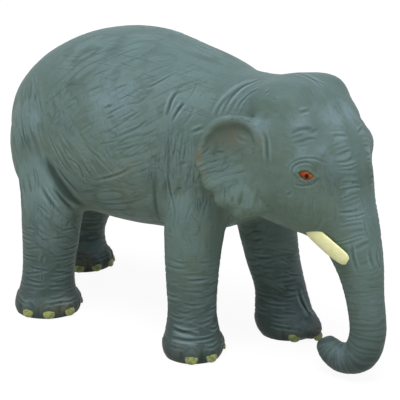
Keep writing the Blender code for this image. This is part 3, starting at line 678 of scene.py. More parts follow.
# Creases seen in the photograph: half width and depth in millimetres, then the pixels that each runs through
creaseRows = (
    (0.8, 0.55, (92, 181), (114.8, 175.4), (126.3, 170.3), (133.3, 165.9)),
    (3.0, 1.2, (44, 156), (50, 168), (60, 185), (72, 199), (86, 208)),
    (1.4, 0.9, (52, 187), (59, 196), (66, 204), (75, 212)), (1.2, 0.6, (40, 184), (47, 197), (58, 212)),
    (1.3, 0.7, (56, 166), (66, 180), (80, 194)), (1.0, 0.5, (49.7, 172.2), (58.7, 182.4)),
    (1.1, 0.7, (179.8, 90), (174.7, 94.4), (170.9, 100.8), (168.4, 108.5), (165.8, 117.4)),
    (1.1, 0.75, (185, 100.8), (179.8, 107.2), (174.7, 114.8), (170.9, 122.5)),
    (0.7, 0.4, (104.6, 119.3), (115.4, 115.5)),
    (0.7, 0.5, (118.6, 121.2), (128.8, 117.4), (139.7, 111)),
    (0.7, 0.45, (115.4, 136.5), (139, 126.3), (148, 116)),
    (0.7, 0.25, (100.8, 102), (102, 111), (105.2, 118.7)),
    (0.7, 0.25, (114.8, 108.5), (118.6, 117.4), (121.2, 122.5)),
    (0.7, 0.25, (128.8, 102), (132.7, 111), (137, 114.8)),
    (0.7, 0.5, (137.8, 90.6), (153, 84.9), (169.6, 75.9), (181, 70.8)),
    (0.7, 0.4, (125, 105.3), (135.2, 102.1)),
    (0.8, 0.5, (20.4, 113.6), (23, 131.4), (26.8, 149.3)),
    (0.8, 0.5, (47.2, 131.4), (53.6, 146.7), (61.2, 162), (71.4, 174.8)),
    (0.8, 0.4, (81.6, 141.6), (94.4, 154.4), (108.4, 168.4)),
    (0.7, 0.4, (109.7, 151.8), (127.6, 148), (146.7, 141.6)),
    (0.7, 0.4, (104.6, 140.4), (121.2, 135.3), (150.5, 123.8)),
    (0.8, 0.4, (76.5, 192.7), (97, 190.1), (114.8, 185.6)),
    (0.8, 0.4, (89.3, 201.6), (114.8, 204.1), (140.3, 200.3), (148, 195.2)),
    (1.8, 0.6, (155, 174.8), (154.3, 193.9), (156.3, 210.5), (159.4, 220.7)),
    (0.9, 0.5, (169.6, 151.8), (167.1, 169.7), (169.6, 187.6), (173.5, 206.7), (176, 222)),
    (1.1, 0.62, (213.7, 120.3), (217.9, 109.1), (226.3, 97.9), (238.9, 86.7), (253, 79.6)),
    (1.1, 0.75, (220.5, 115.5), (226, 104), (233, 94.5), (243.9, 85.5), (262, 78.5)),
    (1.0, 0.55, (233.6, 116.4), (236.8, 108.5), (241, 101.5), (249.8, 93.2), (259.8, 88.3)),
    (0.9, 0.5, (190, 133), (206.7, 126)),
    (1.0, 0.5, (258.6, 68.4), (281, 71.9), (299.3, 74), (313.3, 79.6), (323.1, 88.1)),
    (0.8, 0.35, (264.2, 93.7), (269.8, 90.2)), (0.8, 0.25, (273.3, 97.9), (276.8, 100.7)),
    (0.9, 0.45, (298.6, 112.6), (309.8, 109.8)),
    (1.3, 0.5, (288.7, 136.5), (296.5, 130.9), (306.3, 128.8), (314.7, 130.2), (320.3, 127.3)),
    (1.3, 0.35, (289.4, 142.8), (299.3, 141.4), (311.9, 138.6), (318.2, 137.2)),
    (0.7, 0.22, (296.5, 147), (310.5, 144.2)),
    (0.6, 0.5, (290.8, 176.5), (292.3, 168), (299.3, 163.1), (309.1, 162.4), (314.7, 166.6)),
    (0.6, 0.4, (286.6, 172), (290.8, 163.8), (300.7, 159), (313.3, 158.2), (321.7, 161), (328.7, 163.8)),
    (0.6, 0.4, (292.3, 183.5), (302, 185.6), (313.3, 183.5), (317.5, 177.9)),
    (0.8, 0.4, (286.6, 195.4), (290.8, 192.6)),
    (1.0, 0.45, (262, 130), (266, 140), (267, 155.4), (267.5, 165.2)),
    (1.0, 0.8, (172.2, 327.6), (181, 331.4), (191, 333.3), (199, 335.2)),
    (0.9, 0.6, (171, 337), (185, 340), (199, 341.6)),
    (1.2, 1.0, (298.2, 288), (302, 300.8), (308.4, 312.2), (311, 317.3)),
)
wideCrease, wideLip = 1.3, 0.1   # from this half width on, a crease's lips are lower
for width, depth, *pixels in creaseRows:
    carveBoth(layPath(pixels, onClay), width, depth, groove["lip"] if width < wideCrease else wideLip)


def sightFrom(centre, back, right, up):
    # a level view of the clay: x to the right and y downwards in millimetres from its centre
    centre, back, right, up = (np.array(row, float) for row in (centre, back, right, up))
    viewFar = 300

    def sight(x, y):
        start = centre + back * viewFar + right * x - up * y
        spot = clayTree.ray_cast(Vector(start * mm), Vector(-back))[0]
        return None if spot is None else np.array(spot) / mm
    return sight


# Fine wrinkles: middle and half sizes of a patch, their angle and its spread in degrees, gap between lines,
# shortest and longest, in pixels of the photograph, then half width and depth in millimetres
photoHatch = (
    (26, 120, 17, 62, 92, 8, 4.6, 12, 30, 0.62, 0.30), (30, 190, 15, 30, 100, 8, 5.0, 12, 26, 0.62, 0.28),
    (62, 112, 20, 27, 62, 8, 5.2, 7, 14, 0.60, 0.24), (62, 112, 20, 27, 118, 8, 5.2, 7, 14, 0.60, 0.24),
    (112, 102, 40, 30, 24, 6, 5.6, 9, 22, 0.62, 0.34), (112, 104, 36, 26, 98, 8, 8.0, 6, 13, 0.62, 0.30),
    (72, 158, 24, 34, 122, 7, 5.0, 14, 30, 0.62, 0.30), (104, 156, 22, 24, 128, 6, 6.0, 10, 22, 0.60, 0.24),
    (130, 146, 27, 26, 17, 5, 5.4, 18, 36, 0.62, 0.28), (112, 200, 40, 18, 4, 6, 5.6, 22, 44, 0.62, 0.26),
    (55, 226, 32, 26, 145, 8, 6.4, 10, 20, 0.62, 0.30), (52, 228, 28, 24, 60, 8, 8.0, 8, 16, 0.62, 0.26),
    (48, 268, 30, 30, 6, 8, 6.4, 9, 22, 0.66, 0.30), (48, 262, 28, 34, 92, 10, 9.0, 8, 16, 0.62, 0.22),
    (178, 178, 22, 46, 86, 6, 5.4, 18, 38, 0.62, 0.26), (198, 168, 20, 36, 38, 8, 6.2, 7, 15, 0.62, 0.26),
    (82, 52, 26, 14, 28, 5, 6.4, 18, 36, 0.62, 0.18), (128, 38, 30, 12, 4, 4, 6.0, 22, 44, 0.62, 0.16),
    (184, 50, 34, 14, 160, 5, 6.4, 22, 44, 0.62, 0.18), (160, 92, 34, 24, 26, 7, 7.0, 12, 30, 0.62, 0.24),
    (196, 96, 20, 22, 62, 8, 6.6, 12, 24, 0.62, 0.28), (238, 98, 18, 18, 48, 8, 5.2, 10, 22, 0.62, 0.30),
    (190, 236, 26, 24, 78, 6, 7.0, 12, 24, 0.62, 0.18), (190, 290, 25, 50, 4, 9, 7.4, 8, 18, 0.64, 0.24),
    (196, 220, 26, 22, 70, 8, 6.4, 12, 26, 0.62, 0.24),
    (256, 262, 12, 36, 8, 8, 4.8, 8, 16, 0.66, 0.42), (278, 272, 20, 44, 168, 10, 6.6, 9, 20, 0.64, 0.30),
    (96, 240, 14, 26, 10, 8, 6.4, 8, 16, 0.64, 0.30),
    (298, 205, 30, 16, 84, 8, 8.0, 8, 18, 0.62, 0.14), (306, 134, 16, 8, 12, 8, 4.2, 8, 16, 0.60, 0.26),
    (284, 112, 16, 14, 60, 20, 7.0, 6, 12, 0.62, 0.16), (224, 168, 16, 26, 16, 14, 5.4, 7, 14, 0.62, 0.30),
    (240, 196, 16, 13, 78, 10, 5.2, 8, 15, 0.62, 0.30), (238, 140, 16, 10, 160, 14, 5.4, 6, 12, 0.60, 0.24),
    (318, 188, 12, 26, 100, 8, 7.0, 8, 18, 0.60, 0.14), (262, 190, 12, 22, 88, 6, 6.4, 8, 18, 0.60, 0.18),
)


# How many times the tables' depth, gap and longest stroke are used, then how much chance varies each stroke:
# its place across, bow, strength, share of strength past the patch's inner part, width, and the gaps after it
hatching = {"depth": 1.35, "gap": 1.7, "length": 1.35, "off": 0.12, "bow": 0.06, "fade": (0.3, 1.15),
            "inner": 0.6, "outer": 0.65, "width": (0.85, 1.5), "pause": (0.15, 0.6), "step": (0.8, 1.2)}


def hatchPatch(sight, patch):
    # strokes on parallel lines across an oval patch, each a little turned and bowed
    x, y, halfX, halfY, angle, spread, gap, shortest, longest, width, depth = patch
    gap, longest = gap * hatching["gap"], longest * hatching["length"]
    reach = max(halfX, halfY)
    offset = -reach
    while offset < reach:
        place = -reach - rng.uniform(0, longest)
        while place < reach:
            length = rng.uniform(shortest, longest)
            turn = math.radians(angle + rng.normal(0, spread))
            way = np.array((math.cos(turn), -math.sin(turn)))
            side = np.array((math.sin(turn), math.cos(turn)))
            middle = way * (place + length / 2) + side * (offset + rng.normal(0, hatching["off"]) * gap)
            inside = (middle[0] / halfX) ** 2 + (middle[1] / halfY) ** 2
            bow = rng.normal(0, hatching["bow"]) * length
            fade = rng.uniform(*hatching["fade"]) * (1 if inside < hatching["inner"] else hatching["outer"])
            if inside < 1:
                middle = middle + (x, y)
                ends = [middle - way * length / 2, middle + side * bow, middle + way * length / 2]
                path = layPath(ends, sight)
                carveBoth(path, width * rng.uniform(*hatching["width"]), depth * fade * hatching["depth"])
            place += length + rng.uniform(*hatching["pause"]) * gap
        offset += gap * rng.uniform(*hatching["step"])


# Large odd numbers that scatter the bits of a grid corner's place, and what is kept of them
hashing = {"along": 73856093, "across": 19349663, "up": 83492791, "seed": 2654435761, "mix": 1274126177,
           "keep": 0x7fffffff, "low": 0xffff, "half": 32768}


def valueNoise(points, seed):
    # random numbers from -1 to 1 on the corners of a unit grid, blended across each cell by cubic steps
    cell = np.floor(points).astype(np.int64)
    share = points - cell
    share = share * share * (3 - 2 * share)
    total = np.zeros(len(points))
    for corner in np.ndindex(2, 2, 2):
        spot = cell + corner
        number = (spot[:, 0] * hashing["along"] ^ spot[:, 1] * hashing["across"] ^ spot[:, 2] * hashing["up"]
                  ^ seed * hashing["seed"])
        number = (number ^ number >> 13) * hashing["mix"] & hashing["keep"]
        value = (number >> 8 & hashing["low"]) / hashing["half"] - 1
        total += value * np.prod(np.where(corner, share, 1 - share), axis=1)
    return total


# Skin folds: pixel of the photograph, reach in millimetres, angle they run at, then millimetres between
# them, their length and depth; each patch is made on both sides
foldRows = (
    (24, 118, 25, 92, 3.6, 18, 0.34), (30, 182, 24, 100, 3.6, 16, 0.32),
    (62, 108, 18, 62, 3.4, 9, 0.26), (62, 112, 18, 118, 3.4, 9, 0.24),
    (114, 102, 26, 24, 4.2, 15, 0.36), (114, 104, 22, 98, 6.6, 10, 0.2),
    (72, 160, 22, 124, 3.6, 18, 0.34), (104, 158, 18, 130, 3.8, 15, 0.26),
    (134, 146, 22, 17, 3.8, 22, 0.32), (112, 202, 28, 4, 4.0, 28, 0.32),
    (150, 206, 14, 20, 4.0, 20, 0.3), (55, 228, 22, 145, 4.4, 12, 0.32),
    (50, 226, 20, 60, 5.0, 10, 0.26), (46, 266, 22, 6, 4.2, 16, 0.2), (46, 262, 24, 92, 5.2, 12, 0.12),
    (178, 176, 26, 86, 3.8, 22, 0.32), (200, 168, 20, 38, 4.2, 11, 0.28),
    (86, 54, 26, 28, 4.4, 26, 0.3), (140, 42, 30, 2, 4.4, 28, 0.28), (190, 58, 26, 160, 4.6, 26, 0.22),
    (162, 92, 26, 26, 4.4, 20, 0.3), (130, 68, 26, 24, 4.0, 22, 0.3), (198, 98, 14, 62, 4.0, 16, 0.2),
    (238, 98, 12, 48, 3.4, 16, 0.24), (190, 232, 20, 72, 4.4, 16, 0.2),
    (192, 262, 22, 88, 4.6, 16, 0.05), (192, 304, 24, 4, 4.4, 18, 0.06),
    (276, 272, 26, 170, 4.2, 18, 0.26), (256, 262, 12, 8, 3.4, 12, 0.4),
    (298, 208, 20, 84, 5.0, 14, 0.15), (285, 108, 16, 60, 5.0, 9, 0.05),
    (318, 190, 14, 100, 5.0, 12, 0.15), (350, 100, 14, 110, 4.6, 12, 0.06),
    (224, 168, 13, 16, 3.6, 9, 0.24), (240, 198, 11, 78, 3.6, 11, 0.28),
    (92, 238, 20, 8, 4.2, 12, 0.32), (365, 300, 16, 12, 4.0, 10, 0.22))
# The same for what the photograph hides: place and way in millimetres
hiddenFolds = (
    ((-165, 0, 140), (0, 0, 1), 30, 3.6, 16, 0.32), ((-160, 0, 100), (0, 0, 1), 24, 3.8, 14, 0.32),
    ((0, 0, 70), (1, 0, 0), 60, 4.2, 20, 0.30), ((80, 0, 90), (0, 0.3, 1), 30, 4.0, 14, 0.30),
    ((-20, 0, 201), (1, 0, 0), 60, 4.6, 24, 0.18), ((100, 0, 90), (0, 1, 0), 24, 4.4, 10, 0.28))


# Fine lines drawn by the material, as painted shade with a bump and partly dark paint: the way each kind runs
lineWays = {"alongLines": (1, 0, 0), "uprightLines": (0, 0, 1), "risingLines": (0.80, 0, 0.60),
            "fallingLines": (0.62, 0, -0.78)}
# Share everywhere, and the most in a patch; depth of fold at full share, and the part of its reach it fades
# over; how far a patch faces up or runs level to have its own kind; rings go round below a height and ahead
# of a place
lining = {"least": 0.05, "most": 0.8, "depth": 0.3, "fade": (0.7, 1.6), "up": 0.5, "level": 0.45,
          "low": 80, "ahead": 120}
lineShares = {name: np.full(len(clay), lining["least"]) for name in (*lineWays, "ringLines")}


def layLines(points, place, way, out, reach, depth):
    # the kind nearest to a patch's way, at full strength out to the patch's reach
    if out[2] > lining["up"]:
        name = "alongLines"
    elif abs(way[2]) < lining["level"] and (place[2] < lining["low"] or place[0] > lining["ahead"]):
        name = "ringLines"
    else:
        name = max(lineWays, key=lambda kind: abs(np.array(way) @ lineWays[kind]))
    far = np.linalg.norm(points - place, axis=1)
    fade = 1 - smoothStep(far, lining["fade"][0] * reach, lining["fade"][1] * reach)
    share = lining["most"] * min(1, depth / lining["depth"]) * fade
    lineShares[name] = np.maximum(lineShares[name], share)


# The noise's size out of the skin in gaps; how coarse, strong and far from its own the noise that bends it
# is; part of the reach it fades over, half width of a line, height of the skin between, and the patches' size
net = {"thick": 2.5, "coarse": 0.6, "bend": 0.35, "apart": 31, "seeds": (500, 900), "fade": (0.55, 1.7),
       "line": 0.24, "between": 0.3, "rise": 0.25, "patch": 11, "patchShares": (0.65, 0.5)}


def foldNetwork(place, way, out, reach, across, along, depth, seed):
    # lines where a stretched noise passes nought, fading from the middle of a patch
    other = np.cross(out, way)
    for points in (clay, otherSide(clay)):
        layLines(points, place, way, out, reach, depth)
        gap = ((points - place) ** 2).sum(1)
        near = np.flatnonzero(gap < (net["fade"][1] * reach) ** 2)
        local = points[near] - place
        local = np.stack([local @ way / along, local @ other / across,
                          local @ out / (net["thick"] * across)], 1)
        bend = valueNoise(local * net["coarse"] + net["apart"], seed + net["seeds"][0])
        local[:, 1] += net["bend"] * bend
        noise = valueNoise(local, seed)
        fade = 1 - smoothStep(np.sqrt(gap[near]), net["fade"][0] * reach, net["fade"][1] * reach)
        least, more = net["patchShares"]
        patchy = least + more * valueNoise(points[near] / net["patch"], seed + net["seeds"][1])
        line = np.exp(-(noise / net["line"]) ** 2) * np.clip(patchy, 0, 1)
        sink[near] = np.maximum(sink[near], depth * fade * line)
        rise[near] = np.maximum(rise[near], net["rise"] * depth * fade * (np.abs(noise) > net["between"]))


faintNet = {"size": 4.6, "seed": 99, "depth": 0.12, "line": 0.22}
hiddenSeed = 60   # the hidden patches' seeds start after those of the seen ones


def foldSkin():
    # each patch runs from its pixel towards one a step away at its angle; then a fainter net everywhere
    pixelStep = 3
    for number, (x, y, reach, angle, across, along, depth) in enumerate(foldRows):
        start, way = pixelRay(x, y)
        spot, out = clayTree.ray_cast(Vector(start * mm), Vector(way))[:2]
        turn = math.radians(angle)
        spot, out = np.array(spot) / mm, np.array(out)
        way = onClay(x + pixelStep * math.cos(turn), y - pixelStep * math.sin(turn)) - spot
        foldNetwork(spot, way / np.linalg.norm(way), out, reach, across, along, depth, number)
    for number, (place, way, reach, across, along, depth) in enumerate(hiddenFolds, hiddenSeed):
        spot, out = clayTree.find_nearest(Vector(place) * mm)[:2]
        spot, out = np.array(spot) / mm, np.array(out)
        way = np.array(way) - np.array(way) @ out * out
        foldNetwork(spot, way / np.linalg.norm(way), out, reach, across, along, depth, number)
    noise = valueNoise(clay / faintNet["size"], faintNet["seed"])
    sink[:] = np.maximum(sink, faintNet["depth"] * np.exp(-(noise / faintNet["line"]) ** 2))


foldSkin()
for patch in photoHatch:
    hatchPatch(onClay, patch)
print("hatched:", int((sink > 0.05).sum()), "points")

# Ribs across the front of the trunk: pitch, groove and how far round they reach from and to, in millimetres;
# where along the trunk they start and give way to rings; how each thing wavers, as amount and waves
ribs = {"pitch": 3.3, "width": 0.62, "depth": 0.42, "from": (5.0, 8.0), "to": (14.5, 18.0), "rings": 0.16,
        "wobble": 0.18, "wobbleWaves": (0.35, 0.21), "drift": (0.22, 0.55), "ends": (1.5, 2.4),
        "strength": (0.25, 5.1), "patchy": (0.25, 2.1, 0.4), "ridge": 0.22, "start": (8, 16),
        "stop": (78, 96), "stopShare": 0.8, "ringStart": (80, 100), "facing": -0.1, "lip": 0.35,
        "behind": 30, "beside": 32, "top": 165, "above": 30, "reach": 30}


def carveTrunk():
    # distance along the trunk's line, wrapped to the nearest of evenly spaced grooves: short ribs on either
    # side of the ridge, and faint rings lower down
    route = trunkRoute()[:, :3] + shift
    near = np.flatnonzero((clay[:, 0] > route[:, 0].min() - ribs["behind"]) & (clay[:, 2] < ribs["top"])
                          & (np.abs(clay[:, 1] - shift[1]) < ribs["beside"]))
    top = route[0] + (route[0] - route[3]) / np.linalg.norm(route[0] - route[3]) * ribs["above"]
    gap, along = pathDistance(clay[near], np.vstack([top, route[::3]]))[:2]
    off = np.abs(clay[near, 1] - shift[1])
    offWaves, alongWaves = ribs["wobbleWaves"]
    phase = (along / ribs["pitch"] + ribs["wobble"] * np.sin(off * offWaves + along * alongWaves)
             + ribs["drift"][0] * np.sin(along * ribs["drift"][1]))
    number = np.round(phase)
    cut = np.exp(-(np.abs(phase - number) * ribs["pitch"] / ribs["width"]) ** 2)
    ends = ribs["ends"][0] * np.sin(number * ribs["ends"][1])   # each rib ends at a place of its own
    side = smoothStep(off, *(place + ends for place in ribs["from"]))
    varied, waves = ribs["strength"]
    side = (np.maximum(side, ribs["ridge"]) * (1 - varied + varied * np.sin(number * waves))
            * (1 - smoothStep(off, *(place + ends for place in ribs["to"]))))
    front = (side * smoothStep(along, *ribs["start"]) * (clayNormals[near, 0] > ribs["facing"])
             * (1 - ribs["stopShare"] * smoothStep(along, *ribs["stop"])))
    ring = ribs["rings"] * smoothStep(along, *ribs["ringStart"])
    share = np.maximum(front * ribs["depth"], ring) * (gap < ribs["reach"])
    varied, waves, offWaves = ribs["patchy"]
    patchy = 1 - varied + varied * np.sin(phase * waves + offWaves * off)
    sink[near] = np.maximum(sink[near], share * cut * patchy)
    rise[near] = np.maximum(rise[near], ribs["lip"] * share * (1 - cut) ** 2)


carveTrunk()


def legSight(leg):
    # x is the turn round a leg in degrees and y the height in millimetres
    outside = 33   # millimetres from the leg's line, beyond its skin

    def sight(turn, height):
        axis = legAxis(leg, height)
        way = np.array((math.cos(math.radians(turn)), math.sin(math.radians(turn)), 0))
        spot = clayTree.ray_cast(Vector((axis + way * outside) * mm), Vector(-way))[0]
        return None if spot is None else np.array(spot) / mm
    return sight


# Heights, gap, width and depth in millimetres; arcs and pauses between them in degrees; how much each wavers
legFolds = {"heights": (11.0, 70.0), "gap": 4.4, "gapShares": (0.75, 1.3), "arc": (30, 85),
            "firstTurn": (0, 60), "pause": (4, 50), "width": 0.7, "depth": (0.18, 0.42), "deeper": 1.2,
            "uneven": 0.5, "sag": (-0.4, 1.4)}
# Turn from a nail and height of points along the groove between two toes, past the outer toes, and of the
# arch
toeFolds = {"heights": (0.6, 5, 9.5), "past": 20, "groove": (1.2, 0.55, 0.0),
            "arch": ((-14, 6), (-9, 9.6), (0, 11.4), (9, 9.6), (14, 6)), "archCut": (0.9, 0.3, 0.2)}


def foldLegs():
    # level folds, each part of the way round, and a groove between neighbouring toes
    for leg in legPlaces:
        sight = legSight(leg)
        height = legFolds["heights"][0]
        while height < legFolds["heights"][1]:
            turn = rng.uniform(*legFolds["firstTurn"])
            while turn < 360:
                arc = rng.uniform(*legFolds["arc"])
                rows = [(turn, height + rng.normal(0, legFolds["uneven"])),
                        (turn + arc / 2, height - rng.uniform(*legFolds["sag"])),
                        (turn + arc, height + rng.normal(0, legFolds["uneven"]))]
                path = layPath(rows, sight, 6)
                carveLine(path, legFolds["width"], rng.uniform(*legFolds["depth"]) * legFolds["deeper"])
                turn += arc + rng.uniform(*legFolds["pause"])
            height += legFolds["gap"] * rng.uniform(*legFolds["gapShares"])
        ways = [nailWay(leg, name)[1] for name in nailNames(leg)]
        turns = np.unwrap([math.degrees(math.atan2(way[1], way[0])) for way in ways], period=360)
        past = toeFolds["past"]
        for turn in list((turns[1:] + turns[:-1]) / 2) + [turns[0] - past, turns[-1] + past]:
            path = layPath([(turn, height) for height in toeFolds["heights"]], sight, 2)
            carveLine(path, *toeFolds["groove"])
        for turn in turns:
            arch = [(turn + beside, height) for beside, height in toeFolds["arch"]]
            carveLine(layPath(arch, sight, 2), *toeFolds["archCut"])


foldLegs()

# The sides that the photograph doesn't show: behind, below and in front, in millimetres from a middle point
across, along, upward = (0, 1, 0), (1, 0, 0), (0, 0, 1)
hiddenHatch = (
    (sightFrom((0, 0, 100), (-1, 0, 0), (0, -1, 0), upward),
     ((0, -40, 34, 36, 88, 8, 3.8, 8, 20, 0.62, 0.28), (-30, 10, 20, 40, 96, 8, 4.2, 8, 18, 0.62, 0.28),
      (30, 10, 20, 40, 84, 8, 4.2, 8, 18, 0.62, 0.28))),
    (sightFrom((0, 0, 100), (0, 0, -1), along, (0, 1, 0)),
     ((-20, 0, 70, 30, 0, 8, 4.6, 12, 28, 0.62, 0.26), (60, 0, 26, 24, 90, 10, 4.6, 8, 18, 0.62, 0.26))),
    (sightFrom((0, 0, 100), (1, 0, 0), (0, 1, 0), upward),
     ((0, 10, 34, 26, 88, 10, 4.6, 8, 20, 0.62, 0.26), (0, -70, 22, 20, 90, 18, 5.0, 6, 14, 0.62, 0.18))),
    (sightFrom((0, 0, 100), (0, 0, 1), along, (0, 1, 0)),
     ((-30, 0, 90, 26, 2, 5, 5.0, 16, 34, 0.62, 0.16),)),
)
for sight, patches in hiddenHatch:
    for patch in patches:
        hatchPatch(sight, patch)

eye = {"pixel": (305.5, 175.5), "halfLong": 4.4, "halfHigh": 2.6, "dome": 1.5, "sunk": 0.75,
       "pupil": 1.35, "pupilTall": 1.1, "pupilAhead": 0.8, "pupilDome": 0.35, "pupilSunk": 0.16,
       "droop": (0.985, 0.17), "corner": 2.2, "drawn": 0.45, "foot": 1.6}
# Places of the lid's top and of the dark line, in half sizes of the eye, with their half widths
lid = {"reach": 14, "height": 0.62, "top": (1.45, 0.30), "socket": 0.5, "smooth": (1.0, 1.5),
       "line": 0.14, "edge": (1.04, 0.22)}


def eyeAxes(side):
    # middle of the eye on the skin, forward along the face, up it and out of it
    start, way = pixelRay(*eye["pixel"])
    spot, normal = clayTree.ray_cast(Vector(start * mm), Vector(way))[:2]
    middle, out = np.array(spot) / mm, np.array(normal)
    forward = np.cross((0, 0, 1), -out)
    if forward[0] < 0:
        forward = -forward
    forward /= np.linalg.norm(forward)
    # the almond droops a little towards the trunk
    upward = np.cross(out, forward)
    if upward[2] < 0:
        upward = -upward
    keep, droop = eye["droop"]
    forward, upward = forward * keep - upward * droop, upward * keep + forward * droop
    if side > 0:
        middle = otherSide(middle)
        forward, upward, out = (row * (1, -1, 1) for row in (forward, upward, out))
    return middle, forward, upward, out


def eyeLids():
    # elliptical distance from the eye: lids stand up just outside it, and a dark line is cut at its edge
    lift = np.zeros(len(clay))
    for side in flanks.values():
        middle, forward, upward, out = eyeAxes(side)
        near = np.flatnonzero(((clay - middle) ** 2).sum(1) < lid["reach"] ** 2)
        local = clay[near] - middle
        along = local @ forward / eye["halfLong"]
        drawn = 1 - eye["drawn"] * np.clip(np.abs(along), 0, 1) ** eye["corner"]   # narrows to its corners
        ring = np.sqrt(along ** 2 + (local @ upward / eye["halfHigh"] / drawn) ** 2)
        (top, wide), (edge, thin) = lid["top"], lid["edge"]
        lift[near] = lid["height"] * np.exp(-((ring - top) / wide) ** 2) - lid["socket"] * (ring < 1)
        line = lid["line"] * np.exp(-((ring - edge) / thin) ** 2)
        sink[near] = np.maximum(sink[near] * smoothStep(ring, *lid["smooth"]), line)
    return lift


# Pocket's radius, edge and depth, how far the plug's face is up in it, and its slot's half width, half length
# and depth; radius and height of each ring of the plug
plug = {"pocket": 10.9, "edge": (-0.4, 0.8), "quiet": 3, "under": -0.4, "depth": 1.5, "below": 0.5,
        "slot": (1.1, 6.4, 0.9), "face": 0.5, "rings": (
            (0.4, 0), (1.2, 0), (2.4, 0), (4.0, 0), (6.0, 0), (8.0, 0), (9.2, 0), (9.75, 0.12), (10.1, 0.4),
            (10.2, 0.85), (10.2, 2.2), (10.0, 2.6), (6.0, 2.6), (1.0, 2.6))}
plugCentre = (plugLow + plugHigh) / 2
plugFar = np.linalg.norm(clay[:, :2] - plugCentre[:2], axis=1)
plugPocket = plug["depth"] * (1 - smoothStep(plugFar, *(plug["pocket"] + edge for edge in plug["edge"])))
plugPocket[(clay[:, 2] > plugHigh[2]) | (clayNormals[:, 2] > plug["under"])] = 0
quiet = (clay[:, 2] < plugHigh[2]) & (clayNormals[:, 2] < plug["under"])
sink[quiet] *= smoothStep(plugFar[quiet], plug["pocket"], plug["pocket"] + plug["quiet"])

# Groove depth at which lips are gone, and the depth, lip height and facing that the paint reads as full
toning = {"lipGone": 0.3, "crease": 0.7, "lip": 0.2, "facing": (-0.5, 0.9)}
lipShare = 1 - smoothStep(sink, 0, toning["lipGone"])
clay = clay + clayNormals * (rise * lipShare - sink - plugPocket + eyeLids())[:, None]
clayMesh.vertices.foreach_set("co", (clay * mm).ravel())
shade = np.zeros((len(clay), 4), np.float32)  # crease, lip, how far the skin faces up, full
# the paint reads these as painted shade in grooves, painted highlights on lips, and painted light and shade
# by facing
shade[:, 0], shade[:, 1] = np.clip(sink / toning["crease"], 0, 1), np.clip(rise / toning["lip"], 0, 1)
shade[:, 2], shade[:, 3] = smoothStep(clayNormals[:, 2], *toning["facing"]), 1
clayMesh.attributes.new("sculpted", "FLOAT_COLOR", "POINT").data.foreach_set("color", shade.ravel())

# Where a bluish sheen is painted, where the paint is worn or soiled, and where shade is painted darker:
# pixel, reach in millimetres, share
paintRows = {
    # painted sheen: bluish painted highlights where light catches the flank, brow, trunk and feet
    "mist": (
        (112, 102, 17, 0.7), (98, 96, 12, 0.4), (36, 116, 8, 0.5), (335, 118, 9, 0.9),
        (340, 138, 7, 0.5), (328, 156, 8, 0.7), (302, 156, 8, 0.6), (300, 128, 9, 0.5),
        (262, 124, 9, 0.6), (30, 304, 9, 0.2), (182, 345, 12, 0.2), (300, 318, 12, 0.7),
        (312, 318, 8, 0.6), (96, 255, 8, 0.5), (340, 352, 10, 0.5), (362, 215, 9, 0.35),
        (236, 118, 8, 0.5)),
    "worn": (
        (196, 156, 3.2, 1.0), (196, 164, 3.2, 1.0), (199, 147, 3.0, 0.8), (201, 174, 3.0, 0.6),
        (208, 190, 3.0, 0.4), (231, 133, 8, 0.65), (222, 138, 6, 0.5), (64, 304, 6, 0.75),
        (54, 306, 5, 0.4), (118, 173, 6, 0.5), (130, 168, 5, 0.5), (86, 262, 8, 0.5),
        (88, 206, 6, 0.4), (128, 192, 14, 0.3), (262, 140, 4, 0.3), (318, 326, 5, 0.3)),
    # painted shade: darker where shade falls behind the ear, under the brow, on the trunk's side and the
    # rump's edge
    "wash": (
        (311, 137, 7, 0.55), (352, 182, 16, 0.45), (357, 215, 14, 0.35), (228, 162, 13, 0.45),
        (24, 150, 24, 0.38), (26, 190, 14, 0.25), (198, 205, 9, 0.5), (190, 216, 18, 0.3),
        (186, 140, 18, 0.25), (46, 304, 14, 0.3), (190, 345, 18, 0.35), (88, 190, 9, 0.3),
        (345, 150, 9, 0.3), (94, 250, 14, 0.3), (150, 180, 14, 0.2))}


def layPaint(rows):
    # share times exp(-(distance / reach) squared) round each pixel's place, on both sides
    layer = np.zeros(len(clay))
    for x, y, reach, share in rows:
        centre = onClay(x, y)
        for points in (clay, otherSide(clay)):
            layer = np.maximum(layer, share * np.exp(-((points - centre) ** 2).sum(1) / reach ** 2))
    return layer


layers = {name: layPaint(rows) for name, rows in paintRows.items()} | lineShares
for name, layer in layers.items():
    clayMesh.attributes.new(name, "FLOAT", "POINT").data.foreach_set("value", layer.astype(np.float32))
clayMesh.update()

print("stage: castings")


def cutClay(mesh):
    # cut lines are added along the seam planes and at the ground, where the soles end; the neck's goes on
    # a little below the legs' seam
    below, same = 3, 1e-7
    shape = bmesh.new()
    shape.from_mesh(mesh)
    band = 2 * clayGrain * mm
    cuts = (((neckSeam * mm, 0, 0), (1, 0, 0),
             lambda spot: abs(spot.x - neckSeam * mm) < band and spot.z > (legSeam - below) * mm),
            ((0, 0, legSeam * mm), (0, 0, 1),
             lambda spot: abs(spot.z - legSeam * mm) < band and spot.x < trunkSeam * mm),
            ((0, 0, 0), (0, 0, 1), lambda spot: abs(spot.z) < band))
    for place, normal, close in cuts:
        faces = [face for face in shape.faces if close(face.calc_center_median())]
        around = list({vertex for face in faces for vertex in face.verts})
        edges = list({edge for face in faces for edge in face.edges})
        bmesh.ops.bisect_plane(shape, geom=around + edges + faces, plane_co=place, plane_no=normal, dist=same)
    shape.to_mesh(mesh)
    shape.free()


def castingOf(middles):
    # number of the casting that each face belongs to, by the middle of the face; 0 is cut away
    x, y, z = middles.T
    leg = 3 + np.where(x > legSplit, 0, 2) + np.where(y < 0, 0, 1)
    below = (z < legSeam) & (x < trunkSeam)
    return np.where(z < 0, 0, np.where(below, leg, np.where(x > neckSeam, 1, 2)))


